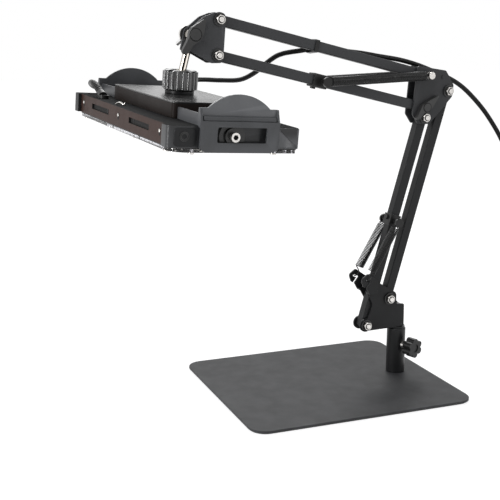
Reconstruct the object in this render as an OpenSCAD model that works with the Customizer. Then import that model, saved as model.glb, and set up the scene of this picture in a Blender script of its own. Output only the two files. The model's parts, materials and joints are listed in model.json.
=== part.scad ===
// UV exposure lamp on a spring balanced double arm, free standing on a steel base plate.
// Origin at the foot of the post axis, on the surface the base rests on. +X is right, +Y is back, +Z is up.

/* [Base] */
// Width of the base plate, left to right
base_w = 240; // [200:5:320]
// Depth of the base plate, front to back
base_d = 214; // [180:2:300]
// Thickness of the steel base plate
base_t = 2.5; // [2.5:0.5:5]
// Corner radius of the base plate
base_r = 17; // [8:1:30]
// Thickness of the foam pad under the plate
pad_t = 1; // [0.5:0.5:3]
// Distance from the post axis to the right edge of the plate
post_inset = 33; // [25:1:60]

/* [Post] */
// Outer diameter of the post
post_d = 20; // [16:1:30]
// Height of the post above the plate
post_h = 50; // [40:1:80]
// Diameter of the spigot that turns in the post
spigot_d = 12; // [9:0.5:14]
// Length of the spigot inside the post
spigot_l = 38; // [20:1:38]
// Height of the clamp screw above the plate
knob_z = 32; // [22:1:38]
// Direction of the clamp screw, degrees from +X
knob_dir = -71; // [-90:1:0]

/* [Clamp knob] */
// Diameter over the lobes of the star knob
knob_d = 21; // [16:1:30]
// Thickness of the star knob
knob_t = 10; // [6:0.5:14]
// Free length of the clamp screw between the post and the star knob
knob_gap = 8; // [2:0.5:12]
// Number of lobes
knob_lobes = 6; // [5:1:8]
// Diameter of the clamp screw
stud_d = 6; // [4:1:8]

/* [Arm] */
// Heading of the arm, degrees from -X towards -Y
arm_yaw = 3; // [0:1:20]
// Side of the square arm tube
bar_w = 10; // [8:0.5:10]
// Wall of the arm tube
bar_wall = 1; // [0.8:0.2:1.6]
// Length of the lower bars between pivots
lower_l = 226.4; // [200:1:260]
// Lean of the lower bars from upright, away from the lamp
lower_lean = 16.4; // [8:1:24]
// Length of the upper bars between pivots
upper_l = 238.3; // [200:1:280]
// Rise of the upper bars above level, towards the lamp
upper_rise = 13.5; // [0:1:25]
// Distance between the middle lines of the two lower bars
lower_gap = 19.1; // [17:0.1:22]
// How far the rear lower bar sits up along the front one
lower_shift = 33.2; // [30:0.1:36]
// Distance between the middle lines of the two upper bars
upper_gap = 32.1; // [29:0.1:36]
// How far the top upper bar sits out along the bottom one
upper_shift = 5.5; // [3:0.1:8]
// Diameter of the pivot bolts
bolt_d = 5; // [4:0.5:5]
// Thickness of the bracket plates
plate_t = 2; // [1.5:0.5:3]
// Side clearance between a bar and each bracket plate
side_gap = 0.5; // [0.4:0.1:1]

/* [Springs] */
// Wire diameter of the springs
wire_d = 1.2; // [1:0.1:1.4]
// Outer diameter of the spring coils
spring_d = 9.6; // [8:0.2:10]
// Distance of each spring from the middle plane of the arm
spring_off = 12.8; // [12.8:0.2:14]
// Turns of each lower spring
lower_turns = 11; // [8:1:14]
// Turns of each upper spring
upper_turns = 23; // [16:1:28]
// Distance of the lower spring clip along its bar
lower_clip_at = 113.9; // [100:1:130]
// Distance of the upper spring clip along its bar
upper_clip_at = 122.4; // [100:1:140]

/* [Ball joint] */
// Diameter of the steel ball
ball_d = 15; // [12:0.5:16]
// Diameter of the chrome rod
rod_d = 7; // [5:0.5:8]
// Length from the tilt pivot to the ball centre
rod_l = 42.5; // [40:0.5:60]
// Lean of the rod from upright, away from the post
rod_lean = 15.4; // [0:1:25]
// Outer diameter of the ribbed lock ring
ring_d = 33; // [31:1:40]
// Height of the lock ring
ring_h = 18.3; // [16:0.5:24]
// Number of ribs on the lock ring
ring_ribs = 18; // [12:1:24]
// Thickness of the nylon cup round the ball
cup_t = 2; // [1.5:0.5:2.5]

/* [Lamp housing] */
// Turn of the lamp about the vertical
lamp_yaw = 5.1; // [0:1:15]
// Lift of the far end of the lamp
lamp_pitch = 2.6; // [0:0.5:6]
// Drop of the right side of the lamp
lamp_roll = 3.6; // [0:0.5:6]
// Width of the housing
house_w = 117.2; // [110:1:140]
// Length of the housing
house_l = 255.6; // [240:1:300]
// Height of the housing
house_h = 17.8; // [17:0.5:24]
// Wall of the housing
house_wall = 2; // [1.5:0.5:3]
// Radius of the two rounded corners
house_r = 16.5; // [10:0.5:20]
// Length of each side vent
vent_l = 50; // [30:1:56]
// Height of each side vent
vent_h = 5; // [3:0.5:7]
// Thickness of the clear cover
cover_t = 3; // [2:0.5:4]
// Thickness of the cover gasket
gasket_t = 1; // [0.8:0.2:2]
// LED rows across the board
led_rows = 5; // [3:1:6]
// LEDs along each row
led_cols = 12; // [8:1:14]

/* [Driver box] */
// Width of the driver box
driver_w = 75; // [66:1:80]
// Length of the driver box
driver_l = 155; // [120:1:160]
// Height of the driver box with its lid
driver_h = 14.2; // [13:0.2:20]
// Thickness of the glossy lid
lid_t = 1.5; // [1:0.5:3]
// Gap from the lid to the ball centre
lid_drop = 12.65; // [12.65:0.5:18]

/* [End brackets] */
// Width of the end brackets
end_w = 70; // [60:1:72]
// Sheet thickness of the end brackets
end_t = 2; // [1.5:0.5:2]
// Radius of the half disc on the top edge
end_disc_r = 40.3; // [38:0.5:46]
// Height of the half disc above the shoulders
end_disc_h = 11.6; // [8:0.5:16]
// Length of the slot in the end plate
end_slot_l = 45.3; // [30:1:50]
// Height of the slot in the end plate
end_slot_h = 12.8; // [11:0.2:14]

/* [Cord] */
// Diameter of the mains cord
cord_d = 5; // [4:0.5:6]
// Middle diameter of the stored coil
coil_d = 58; // [50:1:80]
// Turns of the stored coil
coil_turns = 5; // [3:1:6]

/* [Hidden] */
$fn = 48;

run_gap = 0.05;      // running fit, on the radius
open_gap = 0.2;      // the same at a pivot that only follows
free_gap = 0.3;      // clearance between parts that move apart
deck = pad_t + base_t;
knob_axis = [cos(knob_dir), sin(knob_dir), 0];

// Outlines

// Points of one rounded corner at b, between its neighbours a and c
function corner(a, b, c, r, steps = 6) =
    r <= 0 ? [b] :
    let (
        u = (a - b) / norm(a - b),
        v = (c - b) / norm(c - b),
        half = acos(u * v) / 2,
        mid = b + (u + v) / norm(u + v) * r / sin(half),
        from = b + u * r / tan(half) - mid,
        to = b + v * r / tan(half) - mid,
        start = atan2(from[1], from[0]),
        turn = atan2(from[0] * to[1] - from[1] * to[0], from * to)
    )
    [for (i = [0 : steps]) mid + r * [cos(start + turn * i / steps), sin(start + turn * i / steps)]];

// Outline through points given as [x, y, corner radius]
function rounded(p) =
    let (n = len(p), q = [for (c = p) [c[0], c[1]]])
    [for (i = [0 : n - 1]) each corner(q[(i + n - 1) % n], q[i], q[(i + 1) % n], p[i][2])];

module outline(p) polygon(rounded(p));

// The same outline points moved to start from p
function around(p, list) = [for (c = list) [p[0] + c[0], p[1] + c[1], c[2]]];

module block(w, l, r) outline([[w / 2, l / 2, r], [-w / 2, l / 2, r], [-w / 2, -l / 2, r], [w / 2, -l / 2, r]]);

// Swept tubes

function unit(v) = v / norm(v);
function tangents(p) =
    let (last = len(p) - 1)
    [for (i = [0 : last]) unit(p[min(i + 1, last)] - p[max(i - 1, 0)])];
function flatten_on(n, t) = unit(n - (n * t) * t);
// A normal carried along the path without twist
function carried(t, first) =
    [for (i = 0, n = flatten_on(first, t[0]); i < len(t);
        i = i + 1, n = i < len(t) ? flatten_on(n, t[i]) : n) n];

module tube(p, r, sides, first) {
    t = tangents(p);
    n = carried(t, first);
    rings = len(p);
    points = [for (i = [0 : rings - 1], k = [0 : sides - 1])
        let (a = 360 * k / sides) p[i] + r * (cos(a) * n[i] + sin(a) * cross(t[i], n[i]))];
    walls = [for (i = [0 : rings - 2], k = [0 : sides - 1])
        let (a = i * sides + k, b = i * sides + (k + 1) % sides)
        each [[a, a + sides, b], [b, a + sides, b + sides]]];
    start = [for (k = [1 : sides - 2]) [0, k, k + 1]];
    base = (rings - 1) * sides;
    end = [for (k = [1 : sides - 2]) [base, base + k + 1, base + k]];
    polyhedron(points = points, faces = concat(walls, start, end), convexity = 10);
}

// Smooth curve through hand placed points, with `steps` pieces to a span
function through(p, steps) =
    let (last = len(p) - 1)
    concat([for (i = [0 : last - 1], k = [0 : steps - 1])
        let (a = p[max(i - 1, 0)], b = p[i], c = p[i + 1], d = p[min(i + 2, last)], s = k / steps)
        0.5 * (2 * b + (c - a) * s + (2 * a - 5 * b + 4 * c - d) * s * s + (3 * b - a - 3 * c + d) * s * s * s)],
        [p[last]]);

// Least free space between stretches of a path that lie `apart` or more points from each other
function least_gap(p, r, apart) =
    min([for (i = [0 : len(p) - 1 - apart], j = [i + apart : len(p) - 1]) norm(p[i] - p[j])]) - 2 * r;

// Arm geometry in its own plane: x towards the lamp, y up from the plate, z to the far side

function along(p, a, l) = p + l * [cos(a), sin(a)];
// The point `shift` further along direction a and `off` to its left
function beside(p, a, shift, off) = along(along(p, a, shift), a + 90, off);
lower_a = 90 + lower_lean;
p1 = [42.6, 58.7];
p2 = beside(p1, lower_a, lower_shift, lower_gap);
q1 = along(p1, lower_a, lower_l);
q2 = along(p2, lower_a, lower_l);
elbow = [0.3, 10.6];                 // from the front lower pivot to the bottom upper pivot
s2 = q1 + elbow;
s1 = beside(s2, upper_rise, upper_shift, upper_gap);
r2 = along(s2, upper_rise, upper_l);
r1 = along(s1, upper_rise, upper_l);
tilt_from_r1 = [25.6, -13.6];
tilt = r1 + tilt_from_r1;
rod_a = -90 + rod_lean;
ball = along(tilt, rod_a, rod_l);

plate_in = bar_w / 2 + side_gap;     // inner face of the bracket plates
plate_out = plate_in + plate_t;      // outer face of the bracket plates
boss_t = 1;
boss_d = 2 * bolt_d + 1;
face = plate_out + boss_t;           // seat of nuts and bolt heads
nut_af = 8;
nut_t = 4;
head_t = 3.2;
hook_in = spring_off - plate_t / 2;  // inner face of the spring hooks
lobe_r = 7.2;

module arm() translate([0, 0, deck]) rotate([0, 0, 180 + arm_yaw]) rotate([90, 0, 0]) children();

// A slab that lies between two distances on the near side (side = 1) or the far side (side = -1)
module slab(from, to, side) translate([0, 0, side > 0 ? -to : from]) linear_extrude(to - from) children();
module rod_at(p, r, from, to) translate([p[0], p[1], from]) cylinder(r = r, h = to - from);

arm_right = [cos(180 + arm_yaw), sin(180 + arm_yaw), 0];
arm_far = [-sin(arm_yaw), cos(arm_yaw), 0];
// World place of an arm plane point at distance h on the near side
function arm_world(p, h) = arm_right * p[0] - arm_far * h + [0, 0, p[1] + deck];

// Base

module base_shape(shrink) {
    x0 = -(base_w - post_inset) + shrink;
    x1 = post_inset - shrink;
    y = base_d / 2 - shrink;
    r = base_r - shrink;
    outline([[x1, y, r], [x0, y, r], [x0, -y, r], [x1, -y, r]]);
}
screw_head_d = stud_d + 2 * base_t;

module base_pad() color("#101012") linear_extrude(pad_t) base_shape(1.5);

module base_plate() color("#35353a") difference() {
    translate([0, 0, pad_t]) linear_extrude(base_t) base_shape(0);
    translate([0, 0, pad_t]) cylinder(d1 = screw_head_d + 2 * run_gap, d2 = stud_d + 2 * run_gap, h = base_t);
}

module post_screw() color("#b9bbbf") {
    translate([0, 0, pad_t]) cylinder(d1 = screw_head_d, d2 = stud_d, h = base_t);
    translate([0, 0, deck]) cylinder(d = stud_d, h = post_h - spigot_l - 3);
}

module post() color("#2b2b2f") difference() {
    translate([0, 0, deck]) rotate_extrude() outline([
        [0, 0, 0], [post_d / 2, 0, 0], [post_d / 2, post_h, 1.2], [0, post_h, 0]]);
    translate([0, 0, deck + post_h - spigot_l - free_gap]) cylinder(d = spigot_d + 2 * run_gap, h = spigot_l + 5);
    translate([0, 0, deck - 1]) cylinder(d = stud_d + 2 * run_gap, h = post_h - spigot_l - 1);
    knob_place(spigot_d / 2 - 1) cylinder(d = stud_d + 2 * run_gap, h = post_d / 2);
}

// Puts its children on the clamp screw's axis, at distance r from the post axis
module knob_place(r) translate(knob_axis * r + [0, 0, deck + knob_z])
    rotate([0, 90, knob_dir]) children();

knob_in = post_d / 2 + knob_gap;     // back of the star knob
knob_face = knob_in + knob_t;

module star_knob() color("#1c1c1f") knob_place(knob_in) difference() {
    lobe = knob_d * 0.18;
    union() {
        linear_extrude(knob_t) {
            circle(d = knob_d * 0.72);
            for (i = [0 : knob_lobes - 1]) rotate(i * 360 / knob_lobes)
                translate([knob_d / 2 - lobe, 0]) circle(r = lobe);
        }
    }
    translate([0, 0, knob_t - 1]) cylinder(d = knob_d * 0.42, h = 2);
    translate([0, 0, -1]) cylinder(d = stud_d + 2 * run_gap, h = knob_t - 1.5);
}

module star_knob_stud() color("#c4c6ca") knob_place(0) {
    translate([0, 0, spigot_d / 2 + free_gap]) cylinder(d = stud_d, h = knob_in + knob_t - 3 - spigot_d / 2 - free_gap);
    translate([0, 0, post_d / 2 + free_gap]) cylinder(d = stud_d + 3, h = knob_in - post_d / 2 - free_gap);
}

// Lower bracket

core_top = p2[1] - bar_w / 2 - 4.2;
core_w = 17;                         // length of the block between the plates
collar_t = 1.6;
module swivel_block() color("#232327") {
    foot = post_h + free_gap;
    translate([0, 0, deck + post_h - spigot_l]) cylinder(d = spigot_d, h = spigot_l + 2);
    translate([0, 0, deck + foot]) cylinder(d = post_d - 2, h = collar_t);
    arm() translate([-4, foot + collar_t - 0.4, -plate_in]) cube([core_w, core_top - foot - collar_t + 0.4, 2 * plate_in]);
}

module lower_shape() difference() {
    union() {
        outline([
            [-4.6, post_h + 2.2, 1.2], [-4.2, 77.2, 1.6], [5.6, 78, 2], [6, 90.5, 5], [26, 102.6, 9],
            [45.4, 116.6, 3], [53.4, 110.8, 3.6], [50.6, 102.8, 0.8], [46.4, 100.6, 0.6],
            [34.9, 80.5, 8], [40.5, 66, 4], [48.6, 62.6, 1], [46, post_h + 2.2, 2]]);
        translate(p1) circle(r = lobe_r);
        translate(p2) circle(r = lobe_r);
    }
    hook_slot();
}

// The slot that the spring end hangs in: a mouth at the lower left and a short nose
module hook_slot() {
    mouth = [47.9, 101.2];
    bend = [42.9, 107.4];
    nose = [47.6, 109.6];
    w = 2.2;
    for (e = [[mouth, bend], [bend, nose]]) {
        d = e[1] - e[0];
        translate(e[0]) rotate(atan2(d[1], d[0])) translate([0, -w / 2]) square([norm(d), w]);
    }
    translate(mouth) rotate(-51) translate([-0.1, -w / 2]) square([6, w]);
    for (p = [bend, nose]) translate(p) circle(d = w);
}
hook_anchor = [44.2, 112.3];         // middle of the metal that the spring end goes round
hook_corner = [33.2, 93.5];

module lower_plate(side) color("#242428") arm() difference() {
    union() {
        slab(plate_in, plate_out, side) difference() {
            lower_shape();
            translate(hook_corner + [2, 2]) square(40);
        }
        slab(plate_in, hook_in + plate_t, side) difference() {
            intersection() {
                lower_shape();
                translate(hook_corner) square(40);
            }
            translate(hook_corner + [2, 2]) square(40);
        }
        slab(hook_in, hook_in + plate_t, side) intersection() {
            lower_shape();
            translate(hook_corner) square(40);
        }
        for (p = [p1, p2]) slab(plate_in, face, side) translate(p) circle(d = boss_d);
    }
    for (p = [p1, p2]) rod_at(p, bolt_d / 2 + run_gap, -40, 40);
}
module lower_bracket_near() lower_plate(1);
module lower_bracket_far() lower_plate(-1);

// A bolt across the bracket: head on the far side, threaded end on the near side
module pivot_bolt(p) {
    rod_at(p, bolt_d / 2, -face - nut_t - 1.2, face);
    translate([p[0], p[1], face]) rotate(20) cylinder(r = nut_af / 2 / cos(30), h = head_t, $fn = 6);
}
module pivot_nut(p, turn) translate([p[0], p[1], -face - nut_t]) difference() {
    intersection() {
        rotate(turn) cylinder(r = nut_af / 2 / cos(30), h = nut_t, $fn = 6);
        union() {
            cylinder(r1 = nut_af / 2, r2 = nut_af / 2 + 0.7, h = 0.7);
            translate([0, 0, 0.7]) cylinder(r = nut_af / 2 + 0.7, h = nut_t - 0.7);
        }
    }
    translate([0, 0, -1]) cylinder(r = bolt_d / 2 + run_gap, h = nut_t + 2);
}
module lower_bolts() color("#c9cbd0") arm() for (p = [p1, p2]) pivot_bolt(p);
module lower_nuts() color("#d8dade") arm() {
    pivot_nut(p1, 12);
    pivot_nut(p2, 40);
}

// Bars: square tubes with rounded ends and a sleeve at each pivot

module bar(p, a, l, gaps) translate([p[0], p[1], 0]) rotate(a) difference() {
    intersection() {
        union() {
            difference() {
                bar_solid(l, bar_w, 1);
                bar_solid(l, bar_w - 2 * bar_wall, 0.4);
            }
            for (x = [0, l]) translate([x, 0, -bar_w / 2 + bar_wall / 2]) cylinder(d = bolt_d + 2.4, h = bar_w - bar_wall);
        }
        translate([0, 0, -bar_w]) linear_extrude(2 * bar_w) {
            translate([0, -bar_w / 2]) square([l, bar_w]);
            circle(d = bar_w);
            translate([l, 0]) circle(d = bar_w);
        }
    }
    for (i = [0, 1]) translate([i * l, 0, -bar_w]) cylinder(r = bolt_d / 2 + gaps[i], h = 2 * bar_w);
}
module bar_solid(l, w, r) translate([-bar_w, 0, 0]) rotate([90, 0, 90]) linear_extrude(l + 2 * bar_w) block(w, w, r);

module lower_bar_front() color("#222226") arm() bar(p1, lower_a, lower_l, [run_gap, run_gap]);
module lower_bar_rear() color("#26262a") arm() bar(p2, lower_a, lower_l, [run_gap, open_gap]);
module upper_bar_top() color("#3c3c41") arm() bar(s1, upper_rise, upper_l, [run_gap, run_gap]);
module upper_bar_bottom() color("#3c3c41") arm() bar(s2, upper_rise, upper_l, [run_gap, open_gap]);

// Spring clips: a sleeve on the bar, a pin with a cap each side and a clamp screw

clip_wall = 1.6;
clip_in = bar_w / 2 + run_gap;
pin_end = spring_off + wire_d / 2 + 0.4;
cap_r = 4.9;
module spring_clip(p, a, l, tail, screw_side) translate([p[0], p[1], 0]) rotate(a) translate([l, 0, 0]) {
    difference() {
        rotate([90, 0, 90]) translate([0, 0, -5]) linear_extrude(5 + tail) difference() {
            block(2 * (clip_in + clip_wall), 2 * (clip_in + clip_wall), 1.5);
            block(2 * clip_in, 2 * clip_in, 0.6);
        }
    }
    for (side = [-1, 1]) {
        slab(clip_in + clip_wall / 2, pin_end + 0.5, side) circle(d = bolt_d);
        slab(pin_end, pin_end + 2.6, side) circle(r = cap_r);
    }
    translate([tail - 4, screw_side * (clip_in + clip_wall), 0]) rotate([-90 * screw_side, 0, 0]) cylinder(d = 5.4, h = 1.8);
}
module lower_spring_clip() color("#1d1d20") arm() spring_clip(p1, lower_a, lower_clip_at, 7, -1);
module upper_spring_clip() color("#242427") arm() spring_clip(s2, upper_rise, upper_clip_at, 11, -1);

// Springs: an end ring, the coil and another end ring, as one wire

eye_r = bolt_d / 2 + wire_d / 2 + 0.3;
hook_r = 3.9;
coil_r = (spring_d - wire_d) / 2;
curl_rings = 8;

// End ring that ends on the axis at distance r from its middle; m is the ring's sideways direction
function end_ring(c, a, m, r) = [for (t = [-290 : 45 : -20]) c + r * (cos(t) * a + sin(t) * m)];

function spring_path(c1, c2, across, first_m, first_r, second_r, turns) =
    let (
        a = unit(c2 - c1),
        side = cross(a, across),
        lead = 3.2,
        from = first_r + lead,
        to = norm(c2 - c1) - second_r - lead,
        n = turns * curl_rings
    )
    concat(
        end_ring(c1, a, first_m, first_r),
        [c1 + a * (first_r + 0.1), c1 + a * (first_r + 1.2) + side * coil_r * 0.35,
         c1 + a * (first_r + 2.2) + side * coil_r * 0.8],
        [for (i = [0 : n]) c1 + a * (from + (to - from) * i / n)
            + coil_r * (cos(360 * i / curl_rings) * side + sin(360 * i / curl_rings) * across)],
        [c2 - a * (second_r + 2.2) + side * coil_r * 0.8, c2 - a * (second_r + 1.2) + side * coil_r * 0.35,
         c2 - a * (second_r + 0.1)],
        [for (i = [6 : -1 : 0]) let (t = -290 + 45 * i) c2 - second_r * (cos(t) * a + sin(t) * cross(a, across))]
    );

module spring(c1, c2, side, on_hook, turns, name) {
    from = [c1[0], c1[1], -side * spring_off];
    to = [c2[0], c2[1], -side * spring_off];
    across = [0, 0, side];
    m = on_hook ? across : cross(unit(to - from), across);
    path = spring_path(from, to, across, m, on_hook ? hook_r : eye_r, eye_r, turns);
    echo(str("Least gap of ", name), least_gap(path, wire_d / 2, curl_rings - 2));
    tube(path, wire_d / 2, 6, [0.3, 0.2, 1]);
}
lower_clip = along(p1, lower_a, lower_clip_at);
upper_clip = along(s2, upper_rise, upper_clip_at);
module lower_spring_near() color("#19191b") arm() spring(hook_anchor, lower_clip, 1, true, lower_turns, "lower spring");
module lower_spring_far() color("#19191b") arm() spring(hook_anchor, lower_clip, -1, true, lower_turns, "lower spring");
module upper_spring_near() color("#19191b") arm() spring(upper_clip, s1, 1, false, upper_turns, "upper spring");
module upper_spring_far() color("#19191b") arm() spring(upper_clip, s1, -1, false, upper_turns, "upper spring");

// Mid bracket

module mid_shape() {
    outline([
        [s1[0] + 12.4, s1[1] + 10, 2.6], [q2[0] + 3.2, q2[1] + 21.2, 3.2], [q2[0] - 7, q2[1] + 6, 5],
        [q2[0] - 5.4, q2[1] - 6, 3], [q1[0] - 6.2, q1[1] - 7, 3], [q1[0] + 8, q1[1] - 6.4, 2],
        [q1[0] + 15, q1[1] + 3.6, 3]]);
    translate(q1) circle(r = lobe_r);
    translate(q2) circle(r = lobe_r);
}
spacer_at = q2 + [7.2, 14.6];
module mid_plate(side) color("#38383d") arm() difference() {
    union() {
        slab(plate_in, plate_out, side) mid_shape();
        for (p = [q1, q2, s1]) slab(plate_in, face, side) translate(p) circle(d = boss_d);
    }
    for (p = [q1, q2, s1, s2]) rod_at(p, bolt_d / 2 + run_gap, -40, 40);
    rod_at(spacer_at, 1.5 + run_gap, -40, 40);
}
module mid_bracket_near() mid_plate(1);
module mid_bracket_far() mid_plate(-1);

// Spacer tube and rivet between the two plates
module mid_spacer() color("#2b2b2f") arm() {
    rod_at(spacer_at, 3.5, -plate_in, plate_in);
    rod_at(spacer_at, 1.5, -plate_out - 0.8, plate_out + 0.8);
}
eye_seat = spring_off - wire_d / 2 - 0.4;
module mid_bolts() color("#cfd1d6") arm() {
    pivot_bolt(q1);
    pivot_bolt(q2);
    rod_at(s2, bolt_d / 2, -plate_out, plate_out);
    for (side = [-1, 1]) {
        slab(0, pin_end + 0.5, side) translate(s1) circle(d = bolt_d);
        slab(face, eye_seat, side) translate(s1) circle(d = bolt_d + 2.6);
        slab(pin_end, pin_end + 2.4, side) translate(s1) circle(d = bolt_d + 2.4);
    }
    slab(plate_out, plate_out + 1.6, -1) translate(s2) circle(d = bolt_d + 4);
}
module mid_nuts() color("#d8dade") arm() {
    pivot_nut(q1, 25);
    pivot_nut(q2, 5);
}

wing_t = 5;                          // height of the winged knobs on the near plates

// Winged knob over the bottom pivot
module mid_pivot_cap() color("#3d3d42") arm() {
    slab(plate_out, plate_out + wing_t, 1) {
        outline(around(s2, [[-15.5, 12.8, 0.8], [-1.4, 6.6, 1.5], [5.6, 2.4, 1.5], [13.4, -12.4, 1],
            [8.6, -11.6, 1], [1.8, -4.4, 1.5], [-5.4, -1.6, 2]]));
        translate(s2) circle(r = 4.6);
    }
    slab(plate_out + wing_t - 0.5, plate_out + wing_t + 0.5, 1) translate(s2) circle(r = 4.1);
}

// Head bracket

module head_shape() {
    outline([
        [r1[0] - 7, r1[1] + 6.6, 5], [r1[0] + 5.4, r1[1] + 6.2, 3], [tilt[0] - 10.2, tilt[1] + 16.2, 2],
        [tilt[0] + 4.6, tilt[1] + 4.4, 3], [tilt[0] + 6.2, tilt[1] - 3, 4], [tilt[0] + 9, tilt[1] - 14, 1.6],
        [tilt[0] + 2.2, tilt[1] - 15.4, 1.4], [r2[0] + 6, r2[1] - 7.2, 3], [r2[0] - 5.6, r2[1] - 7.2, 4]]);
    translate(r1) circle(r = 6.8);
    translate(r2) circle(r = 6.8);
}
tilt_d = 6;
head_ties = [r2 + [13, 12], r1 + [13.5, -6.5]];
module head_plate(side) color("#3a3a3f") arm() difference() {
    union() {
        slab(plate_in, plate_out, side) head_shape();
        for (p = [r1, r2]) slab(plate_in, face, side) translate(p) circle(d = boss_d);
    }
    for (p = [r1, r2]) rod_at(p, bolt_d / 2 + run_gap, -40, 40);
    rod_at(tilt, tilt_d / 2 + run_gap, -40, 40);
    for (p = head_ties) rod_at(p, 1.5 + run_gap, -40, 40);
}
module head_bracket_near() head_plate(1);
module head_bracket_far() head_plate(-1);
module head_spacers() color("#2b2b2f") arm() for (p = head_ties) {
    rod_at(p, 2.6, -plate_in, plate_in);
    rod_at(p, 1.5, -plate_out, plate_out);
}
module head_bolts() color("#cfd1d6") arm() for (p = [r1, r2]) pivot_bolt(p);
module head_nuts() color("#d8dade") arm() {
    pivot_nut(r1, 18);
    pivot_nut(r2, 33);
}

// Tilt bolt: covered head with two wings on the near plate, thread and washer on the far side
washer_r = 8.2;
washer_t = 3.2;
wing_seat = plate_out + washer_t;
module tilt_bolt() color("#3d3d42") arm() {
    rod_at(tilt, tilt_d / 2, -plate_out, wing_seat + 8);
    slab(plate_out, plate_out + wing_t, 1) {
        outline(around(tilt, [[-11, 15.2, 1.5], [3.6, 6.4, 3], [6.6, -2.6, 3], [13.2, -14.4, 2],
            [11, -18, 2], [7, -16.6, 2], [2.4, -9.6, 3], [-5.6, -4.6, 3], [-8.6, 2, 3]]));
    }
    slab(plate_out + wing_t - 0.5, plate_out + wing_t + 0.5, 1) translate(tilt) circle(r = 5.3);
    slab(plate_out, wing_seat, -1) difference() {
        translate(tilt) circle(r = washer_r);
        translate(tilt) circle(r = tilt_d / 2);
    }
}

wing_span = 12.5;
module wing_nut() color("#e2e4e8") arm() translate([tilt[0], tilt[1], wing_seat + 0.2]) difference() {
    union() {
        cylinder(r1 = 5.6, r2 = 4.4, h = 5.4);
        rotate(128) for (side = [-1, 1]) rotate([90, 0, 0]) translate([0, 0, -1.1]) linear_extrude(2.2)
            outline([[side * 2.5, 0.6, 0], [side * 8, 1.6, 1], [side * wing_span, 6, 2],
                [side * (wing_span - 1.6), 12.4, 2.4], [side * 8, 9.8, 2], [side * 2.5, 5, 0]]);
    }
    translate([0, 0, -1]) cylinder(r = tilt_d / 2 + run_gap, h = 20);
}

// Ball stud: an eye between the plates, the chrome rod and the ball
module ball_stud() color("#dfe1e6") arm() translate([tilt[0], tilt[1], 0]) rotate(rod_a) difference() {
    union() {
        translate([0, 0, -plate_in + free_gap]) cylinder(r = 5.4, h = 2 * (plate_in - free_gap));
        rotate([0, 90, 0]) cylinder(d = rod_d, h = rod_l);
        translate([rod_l, 0, 0]) sphere(d = ball_d);
    }
    rod_at([0, 0], tilt_d / 2 + run_gap, -20, 20);
}

// Lamp, in its own frame: x across, y along, z up from the ball centre

module lamp() translate(arm_world(ball, 0)) rotate([0, 0, lamp_yaw]) rotate([lamp_pitch, 0, 0])
    rotate([0, lamp_roll, 0]) children();
module lift(z0, z1) translate([0, 0, z0]) linear_extrude(z1 - z0) children();

cup_in = ball_d / 2 + run_gap;
cup_out = cup_in + cup_t;
cup_high = 4;
cup_low = -6.5;
module ball_cup() color("#d9d4c4") lamp() intersection() {
    difference() {
        sphere(r = cup_out);
        sphere(r = cup_in);
    }
    translate([0, 0, cup_low]) cylinder(r = cup_out + 1, h = cup_high - cup_low);
}

ring_top = ring_h / 2;
ring_low = -ring_h / 2;
thread_r = cup_out + 3;
seat_r = cup_out + run_gap;
module lock_ring() color("#1b1b1e") lamp() difference() {
    union() {
        translate([0, 0, ring_low]) rotate_extrude() outline([
            [0, 0, 0], [ring_d / 2 - 1.4, 0, 0.8], [ring_d / 2 - 1.4, ring_h, 1.2], [0, ring_h, 0]]);
        lift(ring_low + 1, ring_top - 1.2) {
            circle(r = ring_d / 2 - 2);
            for (i = [0 : ring_ribs - 1]) rotate(i * 360 / ring_ribs) translate([ring_d / 2 - 1.7, 0]) circle(r = 1.7);
        }
    }
    translate([0, 0, ring_low - 1]) cylinder(r = thread_r + run_gap, h = -ring_low + 1);
    sphere(r = seat_r);
    translate([0, 0, cup_high]) cylinder(r1 = 7.6, r2 = 9.4, h = ring_top - cup_high);
    translate([0, 0, ring_top - 0.1]) cylinder(r = 9.4, h = 2);
    for (i = [0 : 5]) rotate(i * 60 + 30) translate([11.4, -2, ring_top - 1.4]) cube([8, 4, 4]);
}

socket_collar = -ring_h / 2 - 0.3;
socket_foot = -lid_drop - lid_t - 3;
module ball_socket() color("#202023") lamp() difference() {
    union() {
        lift(-lid_drop, socket_collar) circle(r = 13.6);
        lift(socket_collar, -0.4) circle(r = thread_r);
        lift(-lid_drop - lid_t, -lid_drop) circle(r = 8);
        lift(socket_foot, -lid_drop - lid_t) circle(r = 12);
    }
    sphere(r = seat_r);
}

// Housing

house_top = -lid_drop - driver_h;
house_low = house_top - house_h;
module house_shape(shrink) {
    w = house_w / 2 - shrink;
    l = house_l / 2 - shrink;
    round_r = house_r - shrink;
    square_r = max(2 - shrink, 0.4);
    outline([[w, l, square_r], [-w, l, round_r], [-w, -l, round_r], [w, -l, square_r]]);
}
// The housing's end caps stand proud of its left side
cap_out = 3;
cap_shape_l = house_l * 0.054;
module cap_shape(t) {
    x = -house_w / 2 - cap_out;
    y = house_l / 2;
    outline([[x, t * y, 4.5], [x, t * (y - cap_shape_l), 0.5], [x + 24, t * (y - cap_shape_l), 0], [x + 24, t * y, 0]]);
}
screw_d = 3;
screw_in = 5.2;                      // distance of the cover screws from the edge
side_x = house_w / 2 - screw_in;
end_y = house_l / 2 - screw_in;
side_pitch = house_l * 0.279;
end_x = house_w * 0.325;
screws = concat(
    [for (s = [-1, 1], i = [-1.5 : 1 : 1.5]) [s * side_x, i * side_pitch]],
    [for (s = [-1, 1], t = [-1, 1]) [s * end_x, t * end_y]]);
screw_top = house_top - 7;
bolt_x = -5.4;
bolt_z = house_top - 7.4;

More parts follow.
